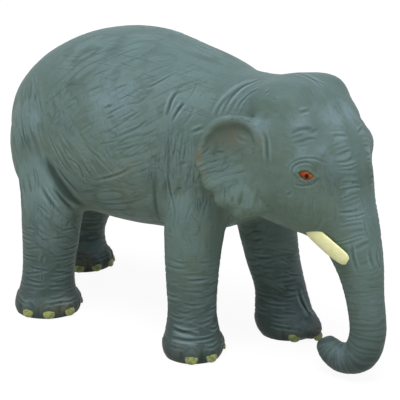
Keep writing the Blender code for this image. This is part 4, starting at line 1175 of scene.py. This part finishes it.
# The plate's columns left to the head, the roll's rings that count, and millimetres round them; the spread
# starts near a column by the rim
earCut = {"rootColumns": 9, "rollRings": 48, "margin": 4, "skin": 1.3, "tipColumn": -3, "tipReach": 3}


def earFaces(middles, corners, side):
    # faces that lie on the ear's own plate or roll, spreading from its rim until they stop
    upper, lower = earGrids(side)
    plate = [grid[:, earCut["rootColumns"]:] + shift for grid in (upper, lower)]
    trees = (treeOf(newMesh("blade", *closedPlate(*plate))),
             treeOf(newMesh("roll", *closedTube(rollGrid(side)[:earCut["rollRings"]] + shift))))
    low = upper.min((0, 1)) + shift - earCut["margin"]
    high = upper.max((0, 1)) + shift + earCut["margin"]
    near = np.flatnonzero(((middles > low) & (middles < high)).all(1))
    far = [min(tree.find_nearest(Vector(spot * mm))[3] for tree in trees) for spot in middles[near]]
    near = near[np.array(far) / mm < earCut["skin"]]
    reached = np.zeros(len(clayMesh.vertices), bool)
    tip = upper[len(upper) // 2, earCut["tipColumn"]] + shift
    start = near[np.linalg.norm(middles[near] - tip, axis=1) < earCut["tipReach"]]
    reached[corners[start].ravel()] = True
    count = 0
    while reached.sum() > count:
        count = reached.sum()
        spread = corners[near[reached[corners[near]].any(1)]]
        reached[spread.ravel()] = True
    return near[reached[corners[near]].all(1)]


def closeCasting(source, chosen, name):
    # the chosen faces, with a cap over each open end
    shape = bmesh.new()
    shape.from_mesh(source)
    others = [face for face, keep in zip(shape.faces, chosen) if not keep]
    bmesh.ops.delete(shape, geom=others, context="FACES")
    mark = shape.faces.layers.int.new("cap")
    rim = [edge for edge in shape.edges if edge.is_boundary]
    caps = bmesh.ops.holes_fill(shape, edges=rim, sides=0)["faces"]
    caps = bmesh.ops.triangulate(shape, faces=caps)["faces"]
    loose = [vertex for vertex in shape.verts if not vertex.link_faces]
    bmesh.ops.delete(shape, geom=loose, context="VERTS")
    for face in caps:
        face[mark] = 1
    for face in shape.faces:
        face.smooth = True
    mesh = bpy.data.meshes.new(name)
    shape.to_mesh(mesh)
    shape.free()
    return mesh


mostTriangles = 190000   # of a casting


def thinCasting(mesh, name):
    # collapse only as far as the triangle limit asks, leaving alone what lies beside a cap
    mesh.calc_loop_triangles()
    count = len(mesh.loop_triangles)
    if count <= mostTriangles:
        return mesh
    capped = np.empty(len(mesh.polygons), int)
    mesh.attributes["cap"].data.foreach_get("value", capped)
    held = {vertex for number in np.flatnonzero(capped) for vertex in mesh.polygons[number].vertices}
    block = newPiece(name, mesh)
    free = block.vertex_groups.new(name="free")
    free.add([number for number in range(len(mesh.vertices)) if number not in held], 1.0, "REPLACE")
    collapse = block.modifiers.new("Collapse", "DECIMATE")
    collapse.ratio = mostTriangles / count
    collapse.vertex_group = "free"
    thin = bpy.data.meshes.new_from_object(block.evaluated_get(bpy.context.evaluated_depsgraph_get()))
    bpy.data.objects.remove(block)
    return thin


def shadeAsOne(mesh):
    # the castings keep the normals of the skin before it was cut, so that no seam shows in their shading
    normals = np.empty(len(mesh.vertices) * 3)
    mesh.attributes["skinNormal"].data.foreach_get("vector", normals)
    corners = np.empty(len(mesh.loops), int)
    mesh.loops.foreach_get("vertex_index", corners)
    capped = np.empty(len(mesh.polygons), int)
    mesh.attributes["cap"].data.foreach_get("value", capped)
    totals = np.empty(len(mesh.polygons), int)
    mesh.polygons.foreach_get("loop_total", totals)
    normals = normals.reshape(-1, 3)[corners] * (1 - np.repeat(capped, totals))[:, None]
    mesh.normals_split_custom_set(normals.tolist())
    mesh.attributes.remove(mesh.attributes["skinNormal"])
    mesh.attributes.remove(mesh.attributes["cap"])


neckSeam, trunkSeam, legSplit = (figure[seam] + shift[0] for seam in ("neckSeam", "trunkSeam", "legSplit"))
legSeam = figure["legSeam"]
castingNames = {1: "head_skin", 2: "torso_skin", 3: "leg_front_right", 4: "leg_front_left",
                5: "leg_hind_right", 6: "leg_hind_left", 7: "ear_right", 8: "ear_left"}
skinNormals = clayMesh.attributes.new("skinNormal", "FLOAT_VECTOR", "POINT")
skinNormals.data.foreach_set("vector", meshArrays(clayMesh)[1].ravel())
cutClay(clayMesh)
middles = np.empty(len(clayMesh.polygons) * 3)
clayMesh.polygons.foreach_get("center", middles)
middles = middles.reshape(-1, 3) / mm
castingOfFace = castingOf(middles)
loopPoints = np.empty(len(clayMesh.loops), np.int32)
clayMesh.loops.foreach_get("vertex_index", loopPoints)
faceStarts, faceSizes = np.empty((2, len(clayMesh.polygons)), np.int32)
clayMesh.polygons.foreach_get("loop_start", faceStarts)
clayMesh.polygons.foreach_get("loop_total", faceSizes)
lastCorner = faceStarts + faceSizes - 1
fourCorners = loopPoints[np.stack([faceStarts, faceStarts + 1, faceStarts + 2, lastCorner], 1)]
for number, side in ((7, -1), (8, 1)):
    castingOfFace[earFaces(middles, fourCorners, side)] = number
skinPieces = []
for number, node in castingNames.items():
    mesh = thinCasting(closeCasting(clayMesh, castingOfFace == number, node), node)
    shadeAsOne(mesh)
    piece = newPiece("cast_" + node, mesh)
    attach(piece, "root")
    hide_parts(node)
    skinPieces.append(piece)
    mesh.calc_loop_triangles()
    print(piece.name, len(mesh.loop_triangles), "triangles")

print("stage: painted parts")


def dressNode(mesh, name, node):
    for face in mesh.polygons:
        face.use_smooth = True
    faceOut(mesh)
    piece = newPiece(name, mesh)
    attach(piece, "root")
    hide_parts(node)
    return piece


def mirrorRows(rows, side):
    # rows of the right side, as they are or carried to the left
    rows = np.array(rows, float)
    return rows if side < 0 else np.hstack([otherSide(rows[:, :3]), rows[:, 3:]])


# Pixels along the middle of the tusk, with millimetres across the figure and shares of its two half sizes
tusk = {"leftSunk": 1.2, "leftBack": 2.4, "halfThick": 1.5, "halfHigh": 4.7, "rows": (
    (307, 228.5, -19.4, 0.50, 0.60), (310.5, 231, -19.6, 0.80, 0.88), (316, 235.5, -19.6, 0.95, 0.98),
    (324, 242.5, -19.4, 1.00, 1.04), (332, 249.5, -19.0, 1.00, 1.04), (339.5, 255.5, -18.8, 0.95, 0.98),
    (344.5, 259.3, -18.4, 0.85, 0.86), (347.5, 261.6, -18.0, 0.60, 0.52))}


def atSide(x, y, across):
    # where a pixel's line of sight reaches a distance across the figure
    start, way = pixelRay(x, y)
    return start + way * ((across - start[1]) / way[1])


def tuskMesh(side):
    # oval rings along the tusk, much higher than thick, as it lies along the cheek
    rows = [(*atSide(x, y, across), thick * tusk["halfThick"], high * tusk["halfHigh"])
            for x, y, across, thick, high in tusk["rows"]]
    rows = mirrorRows(rows, side)
    if side > 0:
        rows[:, :2] -= tusk["leftBack"], tusk["leftSunk"]   # hidden behind the trunk, as in the photograph
    grid = tubeGrid(smoothRows(rows, 8), 40)
    return newMesh("tusk", *closedTube(grid))


for name, side in flanks.items():
    dressNode(tuskMesh(side), "tusk_cast_" + name, "tusk_" + name)


def eyeDome(side, halfLong, halfHigh, dome, lift, ahead=0.0, pointed=eye["drawn"], rings=14, sides=48):
    # height falls from the middle as sqrt(1 - r squared); the outline is an ellipse drawn in to two points
    middle, forward, upward, out = eyeAxes(side)
    firstRing = 0.02   # radians from the middle
    share = np.sin(np.linspace(firstRing, math.pi / 2, rings))[:, None]
    turns = ringTurns(sides)
    wide = np.cos(turns) * share
    high = np.sin(turns) * share * (1 - pointed * np.abs(np.cos(turns)) ** eye["corner"])
    top = (middle + forward * ahead + wide[..., None] * halfLong * forward
           + high[..., None] * halfHigh * upward
           + (lift + dome * np.sqrt(np.clip(1 - share ** 2, 0, 1)) + 0 * turns)[..., None] * out)
    under = top[-1:] - out * eye["foot"]
    return newMesh("eye", *closedTube(np.concatenate([top, under])))


for name, side in flanks.items():
    iris = eyeDome(side, eye["halfLong"], eye["halfHigh"], eye["dome"], -eye["sunk"])
    dressNode(iris, "iris_" + name, "eye_" + name)
    pupil = eyeDome(side, eye["pupil"], eye["pupil"] * eye["pupilTall"], eye["pupilDome"],
                    eye["dome"] - eye["sunk"] - eye["pupilSunk"], eye["pupilAhead"], 0.0, 8, 32)
    dressNode(pupil, "iris_spot_" + name, "pupil_" + name)

# Half sizes, how far down and in it sits, how square it is, how its upright leans in and its face up; it is
# looked for from outside the leg, and stops above the ground
nail = {"halfWide": 4.2, "halfHigh": 3.3, "halfDeep": 1.7, "drop": 0.8, "sunk": 0.8,
        "square": (0.95, 0.95, 1.0), "upright": (0.96, 0.28), "lean": 0.2, "outside": 50, "ground": 0.1}


def nailMesh(leg, node):
    # a low dome, its outline and height the ellipsoid's to a power a little under 1, cut flat underneath
    height, out = nailWay(leg, node)
    skinAt = clayTree.ray_cast(Vector((legAxis(leg, height) + out * nail["outside"]) * mm), Vector(-out))[0]
    middle = np.array(skinAt) / mm - out * nail["sunk"]
    wide, up = np.cross(out, (0, 0, 1)), np.array((0, 0, 1))
    unit = ballGrid((0, 0, 0), (1, 1, 1), 18, 28)
    unit = np.sign(unit) * np.abs(unit) ** np.array(nail["square"])
    keep, lean = nail["upright"]
    grid = (middle - up * nail["drop"] + unit[..., :1] * nail["halfWide"] * wide
            + unit[..., 1:2] * nail["halfHigh"] * (keep * up - lean * out)
            + unit[..., 2:] * nail["halfDeep"] * (out + nail["lean"] * up))
    grid[..., 2] = np.maximum(grid[..., 2], nail["ground"])
    return newMesh("nail", *closedTube(grid))


for leg in legPlaces:
    for node in nailNames(leg):
        dressNode(nailMesh(leg, node), "toe" + node, node)

# Tail: along, across and up as shares of its length, then its radius in millimetres; shares of the way down
# where the tuft starts and its locks swell; height of the rings and locks, and how many
tail = {"place": (-127.0, 0.0, 148.0), "length": 76.0, "sides": 64, "tuft": (0.62, 0.74), "swell": (0.6, 0.4),
        "ring": (0.14, 1.6, 95), "lock": (0.42, 4.5, 5), "thin": 0.2, "least": 0.8, "rows": (
    (0.03, 0, 0.00, 4.4), (-0.06, 0, 0.02, 4.0), (-0.10, 0, 0.01, 3.7), (-0.175, 0.01, -0.06, 3.5),
    (-0.205, 0.04, -0.22, 3.2), (-0.200, 0.07, -0.36, 2.9), (-0.190, 0.10, -0.50, 2.7),
    (-0.165, 0.14, -0.61, 2.6), (-0.140, 0.18, -0.72, 2.8), (-0.112, 0.21, -0.81, 4.0),
    (-0.090, 0.24, -0.88, 4.7), (-0.078, 0.26, -0.94, 3.9), (-0.070, 0.27, -0.985, 1.9),
    (-0.068, 0.272, -1.0, 0.6))}


def tailMesh():
    # a tapering rope with rings across it, ending in a tuft whose locks are cut by lengthwise grooves
    rows = np.array(tail["rows"])
    route = np.array(tail["place"]) + rows[:, :3] * tail["length"] + shift
    rows = smoothRows(np.hstack([route, rows[:, 3:], rows[:, 3:]]), 14)
    share = np.linspace(0, 1, len(rows))[:, None]
    tuft = smoothStep(share, *tail["tuft"])
    high, flat, waves = tail["ring"]
    ring = high * np.minimum(1, flat * np.abs(np.sin(share * waves))) * (1 - tuft)
    grid = tubeGrid(rows, tail["sides"])
    high, locks, twist = tail["lock"]
    start, span = tail["swell"]
    swell = np.sin(np.clip((share - start) / span, 0, 1) * math.pi) ** 0.5
    lock = high * np.abs(np.sin(ringTurns(tail["sides"]) * locks + share * twist)) * tuft * swell
    centre = rows[:, None, :3]
    scale = 1 + (ring + lock - tail["thin"] * tuft) / np.maximum(rows[:, 3:4], tail["least"])
    return newMesh("tail", *closedTube(centre + (grid - centre) * scale[..., None]))


tailPiece = dressNode(tailMesh(), "tail_cast", "tail")


def plugMesh():
    # a turned disc with a rounded edge and a shallow slot to lift it by
    skinAt = onBelly(plugCentre[0], plugCentre[1])
    face = skinAt + plug["below"]
    profile = smoothRows(plug["rings"], 3)
    turns = ringTurns(72)
    grid = np.stack([plugCentre[0] + profile[:, :1] * np.cos(turns),
                     plugCentre[1] + profile[:, :1] * np.sin(turns), face + profile[:, 1:] + 0 * turns], -1)
    half, reach, deep = plug["slot"]
    beside, along = (np.abs(grid[..., axis] - plugCentre[axis]) for axis in (1, 0))
    front = (profile[:, 1:] < plug["face"]) & (beside < half) & (along < reach)
    grid[..., 2] += np.where(front, deep, 0)
    return newMesh("plug", *closedTube(grid))


def onBelly(x, y):
    # height of the skin's underside straight below a place
    spot = clayTree.ray_cast(Vector((x, y, 20)) * mm, Vector((0, 0, 1)))[0]
    return spot.z / mm


plugPiece = dressNode(plugMesh(), "filling_plug", "belly_plug")
skinPieces += [tailPiece, plugPiece]

print("stage: materials")


def toLinear(colour):
    # sRGB hex to linear red, green, blue and full alpha
    shares = [int(colour[place:place + 2], 16) / 255 for place in (1, 3, 5)]
    return [share / 12.92 if share <= 0.04045 else ((share + 0.055) / 1.055) ** 2.4 for share in shares] + [1]


def addNode(owner, kind, inputs=None, **settings):
    # a node with its own settings, then its inputs: another node's output is linked, a value is set
    node = owner.node_tree.nodes.new("ShaderNode" + kind)
    for name, value in settings.items():
        setattr(node, name, value)
    for name, value in (inputs or {}).items():
        if isinstance(value, bpy.types.NodeSocket):
            owner.node_tree.links.new(value, node.inputs[name])
        else:
            node.inputs[name].default_value = value
    return node


def newMaterial(name):
    material = bpy.data.materials.new(name)
    material.use_nodes = True
    material.node_tree.nodes.clear()
    return material


def paintOver(made, patterns, layers):
    # each colour covers those before it by the product of its ranges; a range rises in a straight line from
    # nought at one value of its pattern to its most at another
    base = None
    for colour, *ranges in layers:
        share = 1.0
        for pattern, start, full, most in ranges:
            rising = addNode(made, "MapRange", {
                "Value": patterns[pattern], "From Min": start, "From Max": full, "To Max": most})
            share = addNode(made, "Math", {0: share, 1: rising.outputs[0]}, operation="MULTIPLY").outputs[0]
        if base is None:
            base = toLinear(colour)
        else:
            mixed = addNode(made, "Mix", {0: share, 6: base, 7: toLinear(colour)}, data_type="RGBA")
            base = mixed.outputs[2]
    return base


# Sizes in millimetres. A noise is its size, detail and roughness, and a layer its colour, then ranges of a
# pattern: where it starts, where it is full and the most it covers
skin = {
    "noises": {"cloud": (38.0, 3.0, 0.5), "mottle": (9.0, 3.0, 0.6), "grain": (1.1, 2.0, 0.6),
               "patch": (13.0, 2.0, 0.5)},
    "layers": (
        ("#738775",),
        # painted light and shade by facing: skin facing up is painted bluer, skin facing down stays greener
        ("#637b7a", ("facing", 0.0, 1.0, 1.0)),
        ("#5a6e6d", ("cloud", 0.42, 0.70, 0.30)),
        ("#7c9296", ("mottle", 0.45, 0.75, 0.22)),
        ("#5f6d61", ("mottle", 0.60, 0.40, 1.0), ("cloud", 0.60, 0.35, 0.20)),
        ("#3a4847", ("low", 0.090, 0.006, 0.85)),   # legs darken towards the feet
        # painted shade over the hollows and sides listed in paintRows
        ("#3f4f4d", ("wash", 0.0, 1.0, 1.0), ("mottle", 0.30, 0.62, 1.0)),
        # painted sheen: bluish painted highlight patches
        ("#859da6", ("mist", 0.0, 1.0, 1.0), ("mottle", 0.30, 0.62, 1.0)),
        ("#857a62", ("worn", 0.0, 1.0, 1.0), ("mottle", 0.30, 0.62, 1.0)),
        # fine lines: painted shade of fine wrinkles, partly dark paint in them
        ("#2b3733", ("brokenLineShade", 0.0, 1.0, 0.5)),     # fine lines
        # painted highlight along the raised lips beside the creases
        ("#8ba6aa", ("lip", 0.1, 1.0, 0.72)),
        # painted shade in the carved creases, partly a dark wash in them
        ("#2b3733", ("crease", 0.12, 0.95, 0.78)),
        ("#6d6754", ("low", 0.026, 0.0, 0.5), ("mottle", 0.42, 0.66, 1.0))),   # dust on the soles
    "roughness": (0.46, 0.60), "roughFrom": (0.3, 0.8), "shine": 0.09,
    # lines: turn of each kind in degrees and the sizes of its noise along, across and up
    "lines": {"alongLines": (0, (20, 3.0, 3.0)), "ringLines": (0, (15, 15, 2.6)),
              "uprightLines": (0, (2.9, 2.9, 20)), "risingLines": (-35, (20, 16, 2.8)),
              "fallingLines": (52, (20, 16, 2.8))},
    "upright": {"Scale": 1.0, "Detail": 0.5, "Roughness": 0.3}, "lineWidth": 0.05,
    "streak": {"Scale": 0.7, "Detail": 1.5, "Roughness": 0.4, "Distortion": 0.25}, "lineHalf": 0.12,
    "lineBend": 1.2, "linePitch": 0.75, "lineSlant": -0.8, "lineGate": (0.46, 0.56),
    "patchy": (0.36, 0.60), "lineDeep": 0.34, "grainHigh": 0.35,
}


def skinFinish():
    # soft vinyl, slush moulded and then sprayed grey-green in satin paint: creases are painted darker, partly
    # a dark wash and partly painted shade; upward skin is painted bluer, with a painted bluish sheen in
    # places and painted highlights on the lips of creases; painted shade darkens hollows and sides; old dust
    # browns the low places
    made = newMaterial("paintedVinylSkin")
    place = addNode(made, "TexCoord").outputs["Object"]
    sculpted = addNode(made, "SeparateColor", {
        "Color": addNode(made, "Attribute", attribute_name="sculpted").outputs["Color"]})
    patterns = dict(zip(("crease", "lip", "facing"), sculpted.outputs))
    patterns["low"] = addNode(made, "SeparateXYZ", {"Vector": place}).outputs["Z"]
    for name in paintRows:
        patterns[name] = addNode(made, "Attribute", attribute_name=name).outputs["Fac"]
    for name, (size, detail, roughness) in skin["noises"].items():
        noise = addNode(made, "TexNoise", {
            "Vector": place, "Scale": 1 / (size * mm), "Detail": detail, "Roughness": roughness})
        patterns[name] = noise.outputs["Fac"]
    fine = 0.0
    for name, (turn, sizes) in skin["lines"].items():
        spot = addNode(made, "Mapping", {
            "Vector": place, "Rotation": (0, math.radians(turn), 0), "Scale": [size * mm for size in sizes]},
            vector_type="TEXTURE").outputs[0]
        if name == "uprightLines":
            # a line wherever noise stretched along the way it runs passes one half
            streak = addNode(made, "TexNoise", {"Vector": spot} | skin["upright"])
            off = addNode(made, "Math", {0: streak.outputs["Fac"], 1: 0.5}, operation="SUBTRACT")
            off = addNode(made, "Math", {0: off.outputs[0]}, operation="ABSOLUTE")
            width, gate = skin["lineWidth"], 1.0
        else:
            # evenly spaced lines bent by stretched noise, and broken where a second channel of it is low
            streak = addNode(made, "TexNoise", {"Vector": spot} | skin["streak"])
            across = addNode(made, "SeparateXYZ", {"Vector": spot})
            beside = addNode(made, "Math", {0: across.outputs["Y"]}, operation="ABSOLUTE")
            turns = addNode(made, "Math", {
                0: beside.outputs[0], 1: skin["lineSlant"], 2: across.outputs["Z"]}, operation="MULTIPLY_ADD")
            bent = addNode(made, "Math", {
                0: streak.outputs["Fac"], 1: skin["lineBend"]}, operation="MULTIPLY")
            turns = addNode(made, "Math", {
                0: turns.outputs[0], 1: skin["linePitch"], 2: bent.outputs[0]}, operation="MULTIPLY_ADD")
            off = addNode(made, "Math", {0: turns.outputs[0], 1: 0.5}, operation="PINGPONG")
            second = addNode(made, "SeparateColor", {"Color": streak.outputs["Color"]}).outputs["Green"]
            shut, opened = skin["lineGate"]
            gate = addNode(made, "MapRange", {
                "Value": second, "From Min": shut, "From Max": opened}).outputs[0]
            width = skin["lineHalf"]
        line = addNode(made, "MapRange", {
            "Value": off.outputs[0], "From Min": 0.0, "From Max": width, "To Min": 1.0, "To Max": 0.0})
        for part in (gate, addNode(made, "Attribute", attribute_name=name).outputs["Fac"]):
            line = addNode(made, "Math", {0: line.outputs[0], 1: part}, operation="MULTIPLY")
        fine = addNode(made, "Math", {0: fine, 1: line.outputs[0]}, operation="MAXIMUM").outputs[0]
    start, full = skin["patchy"]
    patch = addNode(made, "MapRange", {"Value": patterns["patch"], "From Min": start, "From Max": full})
    brokenLineShade = addNode(made, "Math", {0: fine, 1: patch.outputs[0]}, operation="MULTIPLY").outputs[0]
    patterns["brokenLineShade"] = brokenLineShade
    height = addNode(made, "Math", {
        0: patterns["grain"], 1: skin["grainHigh"], 2: patterns["mottle"]}, operation="MULTIPLY_ADD")
    height = addNode(made, "Math", {0: height.outputs[0], 1: brokenLineShade}, operation="SUBTRACT").outputs[0]
    bump = addNode(made, "Bump", {"Strength": 1.0, "Distance": skin["lineDeep"] * mm, "Height": height})
    (start, full), (least, most) = skin["roughFrom"], skin["roughness"]
    rough = addNode(made, "MapRange", {
        "Value": patterns["mottle"], "From Min": start, "From Max": full, "To Min": least, "To Max": most})
    shader = addNode(made, "BsdfPrincipled", {
        "Base Color": paintOver(made, patterns, skin["layers"]), "Roughness": rough.outputs[0],
        "Normal": bump.outputs["Normal"], "Specular IOR Level": skin["shine"]})
    addNode(made, "OutputMaterial", {"Surface": shader.outputs[0]})
    return made


# The eye's back corner is burnt darker: where along the figure that starts and is full, in metres
eyeBack = [(eyeAxes(flanks["right"])[0][0] + ahead) * mm for ahead in (1.0, -3.2)]
# A pattern is its node, output and inputs, then for some the turn in degrees and scales it is laid with;
# bump is strength, depth in millimetres and pattern
looks = {
    # ivory enamel brushed thickly on the vinyl: yellower where it pools, with faint lengthwise brush marks
    "ivoryEnamel": {
        "patterns": {"brush": ("TexNoise", "Fac", {"Scale": 1.0, "Detail": 3.0}, (35, (120, 900, 900))),
                     "pool": ("TexNoise", "Fac", {"Scale": 260.0, "Detail": 2.0})},
        "layers": (("#fffdc2",), ("#f6f4ae", ("pool", 0.4, 0.7, 1.0)),
                   ("#d3d190", ("brush", 0.52, 0.8, 0.5))),
        "bump": (0.3, 0.15, "brush"), "surface": {"Roughness": 0.38, "Specular IOR Level": 0.45}},
    # yellow-green enamel dabbed on thinly, so the grey-green skin shows through in places
    "nailEnamel": {
        "patterns": {"dab": ("TexNoise", "Fac", {"Scale": 420.0, "Detail": 3.0, "Roughness": 0.6})},
        "layers": (("#66724a",), ("#a3aa5c", ("dab", 0.38, 0.64, 1.0))),
        "bump": (0.4, 0.15, "dab"), "surface": {"Roughness": 0.42, "Specular IOR Level": 0.45}},
    # orange gloss enamel flooded into the eye, burnt darker towards its back corner
    "orangeGlossEnamel": {
        "patterns": {"fleck": ("TexNoise", "Fac", {"Scale": 700.0, "Detail": 3.0}),
                     "ahead": ("SeparateXYZ", "X", {})},
        "layers": (("#bb560e",), ("#6e2e0a", ("ahead", *eyeBack, 1.0)),
                   ("#9c3c0c", ("fleck", 0.5, 0.72, 0.6))),
        "surface": {"Roughness": 0.45, "Specular IOR Level": 0.2}},
    # black-brown gloss enamel, one drop
    "blackGlossEnamel": {
        "patterns": {"fleck": ("TexNoise", "Fac", {"Scale": 900.0, "Detail": 2.0})},
        "layers": (("#0e0a08",), ("#22120b", ("fleck", 0.0, 1.0, 1.0))),
        "surface": {"Roughness": 0.45, "Specular IOR Level": 0.2}},
    # polyester fibre filling: off-white crimped strands, matted together and drawn wide enough to show
    "polyesterFibre": {
        "patterns": {"mat": ("TexNoise", "Fac", {"Scale": 1 / (6 * mm), "Detail": 5.0, "Distortion": 2.5}),
                     "strand": ("TexWave", "Fac", {"Scale": 1 / (2.5 * mm), "Distortion": 14.0, "Detail": 4.0,
                                                   "Detail Scale": 1.6})},
        "layers": (("#d9d7cf",), ("#f1efe8", ("mat", 0.0, 1.0, 1.0))),
        "bump": (0.9, 0.6, "strand"),
        "surface": {"Roughness": 0.92, "Sheen Weight": 0.4, "Sheen Roughness": 0.5}},
}


def paintedFinish(name):
    # patterns from the piece's own place, colours laid over each other by them, and the surface
    look = looks[name]
    made = newMaterial(name)
    place = addNode(made, "TexCoord").outputs["Object"]
    patterns = {}
    for pattern, (kind, output, inputs, *laid) in look["patterns"].items():
        spot = place
        for turn, scales in laid:
            spot = addNode(made, "Mapping", {
                "Vector": place, "Rotation": (0, math.radians(turn), 0), "Scale": scales}).outputs[0]
        patterns[pattern] = addNode(made, kind, {"Vector": spot} | inputs).outputs[output]
    surface = {"Base Color": paintOver(made, patterns, look["layers"])} | look["surface"]
    if "bump" in look:
        strength, depth, pattern = look["bump"]
        bump = addNode(made, "Bump", {
            "Strength": strength, "Distance": depth * mm, "Height": patterns[pattern]})
        surface["Normal"] = bump.outputs["Normal"]
    shader = addNode(made, "BsdfPrincipled", surface)
    addNode(made, "OutputMaterial", {"Surface": shader.outputs[0]})
    return made


skinPaint = skinFinish()
tuskPaint, nailPaint, irisPaint, pupilPaint, fibre = (paintedFinish(name) for name in looks)
nodeFinishes = {"tusk": tuskPaint, "nail": nailPaint, "eye": irisPaint, "pupil": pupilPaint}
for piece in bpy.data.objects:
    start = piece.name.split("_")[0]
    if piece in skinPieces:
        piece.data.materials.append(skinPaint)
    elif piece.name.startswith("tusk_cast"):
        piece.data.materials.append(tuskPaint)
    elif start == "toenail":
        piece.data.materials.append(nailPaint)
    elif piece.name.startswith("iris_spot"):
        piece.data.materials.append(pupilPaint)
    elif start == "iris":
        piece.data.materials.append(irisPaint)
for name, node in frame["nodes"].items():
    finish = fibre if "filling" in name else nodeFinishes.get(name.split("_")[0], skinPaint)
    node.data.materials.clear()
    node.data.materials.append(finish)

print("stage: studio")


def addLamp(name, right, up, back, strength, spread):
    # a far lamp in the direction given from the camera's own axes; spread is its width in degrees
    cameraBack, cameraRight, cameraUp = cameraAxes()
    way = cameraRight * right + np.array((0, 0, 1)) * up + cameraBack * back
    data = bpy.data.lights.new(name, "SUN")
    data.energy, data.angle = strength, math.radians(spread)
    lamp = bpy.data.objects.new(name, data)
    lamp.rotation_euler = Vector(-way).to_track_quat("-Z", "Y").to_euler()
    lamp.location = way
    bpy.context.scene.collection.objects.link(lamp)


addLamp("mainLamp", -0.06, 0.89, 0.50, 2.20, 36)   # high above the camera
world = bpy.data.worlds.new("studio")
bpy.context.scene.world = world
world.use_nodes = True
world.node_tree.nodes.clear()


def seenPlainly(owner):
    # 1 for rays straight from the camera, off gloss or through something clear: the most of the three
    paths = addNode(owner, "LightPath").outputs
    seen = addNode(owner, "Math", {0: paths["Is Camera Ray"], 1: paths["Is Glossy Ray"]}, operation="MAXIMUM")
    seen = addNode(owner, "Math", {0: seen.outputs[0], 1: paths["Is Transmission Ray"]}, operation="MAXIMUM")
    return seen.outputs[0]


white = addNode(world, "Background", {"Color": (1, 1, 1, 1), "Strength": 1.0})
dim = addNode(world, "Background", {"Color": (1, 1, 1, 1), "Strength": 0.40})
mixed = addNode(world, "MixShader", {0: seenPlainly(world), 1: dim.outputs[0], 2: white.outputs[0]})
addNode(world, "OutputWorld", {"Surface": mixed.outputs[0]})

# Shares of white: the card's own, what it throws back to light the belly, and the light it gives the camera
paper = {"card": 0.10, "bounce": 0.44, "glow": 0.93, "half": 5000}


def floorFinish():
    # white card: its own light for the camera keeps it white, its painted share keeps a soft shadow
    made = newMaterial("paperFloor")
    greys = [(paper[name],) * 3 + (1,) for name in ("card", "bounce")]
    card, bounce = (addNode(made, "BsdfDiffuse", {"Color": grey}) for grey in greys)
    glow = addNode(made, "Emission", {"Color": (1, 1, 1, 1), "Strength": paper["glow"]})
    bright = addNode(made, "AddShader", {0: card.outputs[0], 1: glow.outputs[0]})
    mixed = addNode(made, "MixShader", {0: seenPlainly(made), 1: bounce.outputs[0], 2: bright.outputs[0]})
    addNode(made, "OutputMaterial", {"Surface": mixed.outputs[0]})
    return made


floorCorners = [(x * paper["half"], y * paper["half"], 0) for x, y in ((-1, -1), (1, -1), (1, 1), (-1, 1))]
floorMesh = newMesh("floor", floorCorners, [[0, 1, 2, 3]])
floorMesh.materials.append(floorFinish())
floor = newPiece("floor", floorMesh)
view = bpy.context.scene.view_settings
view.view_transform = "Standard"
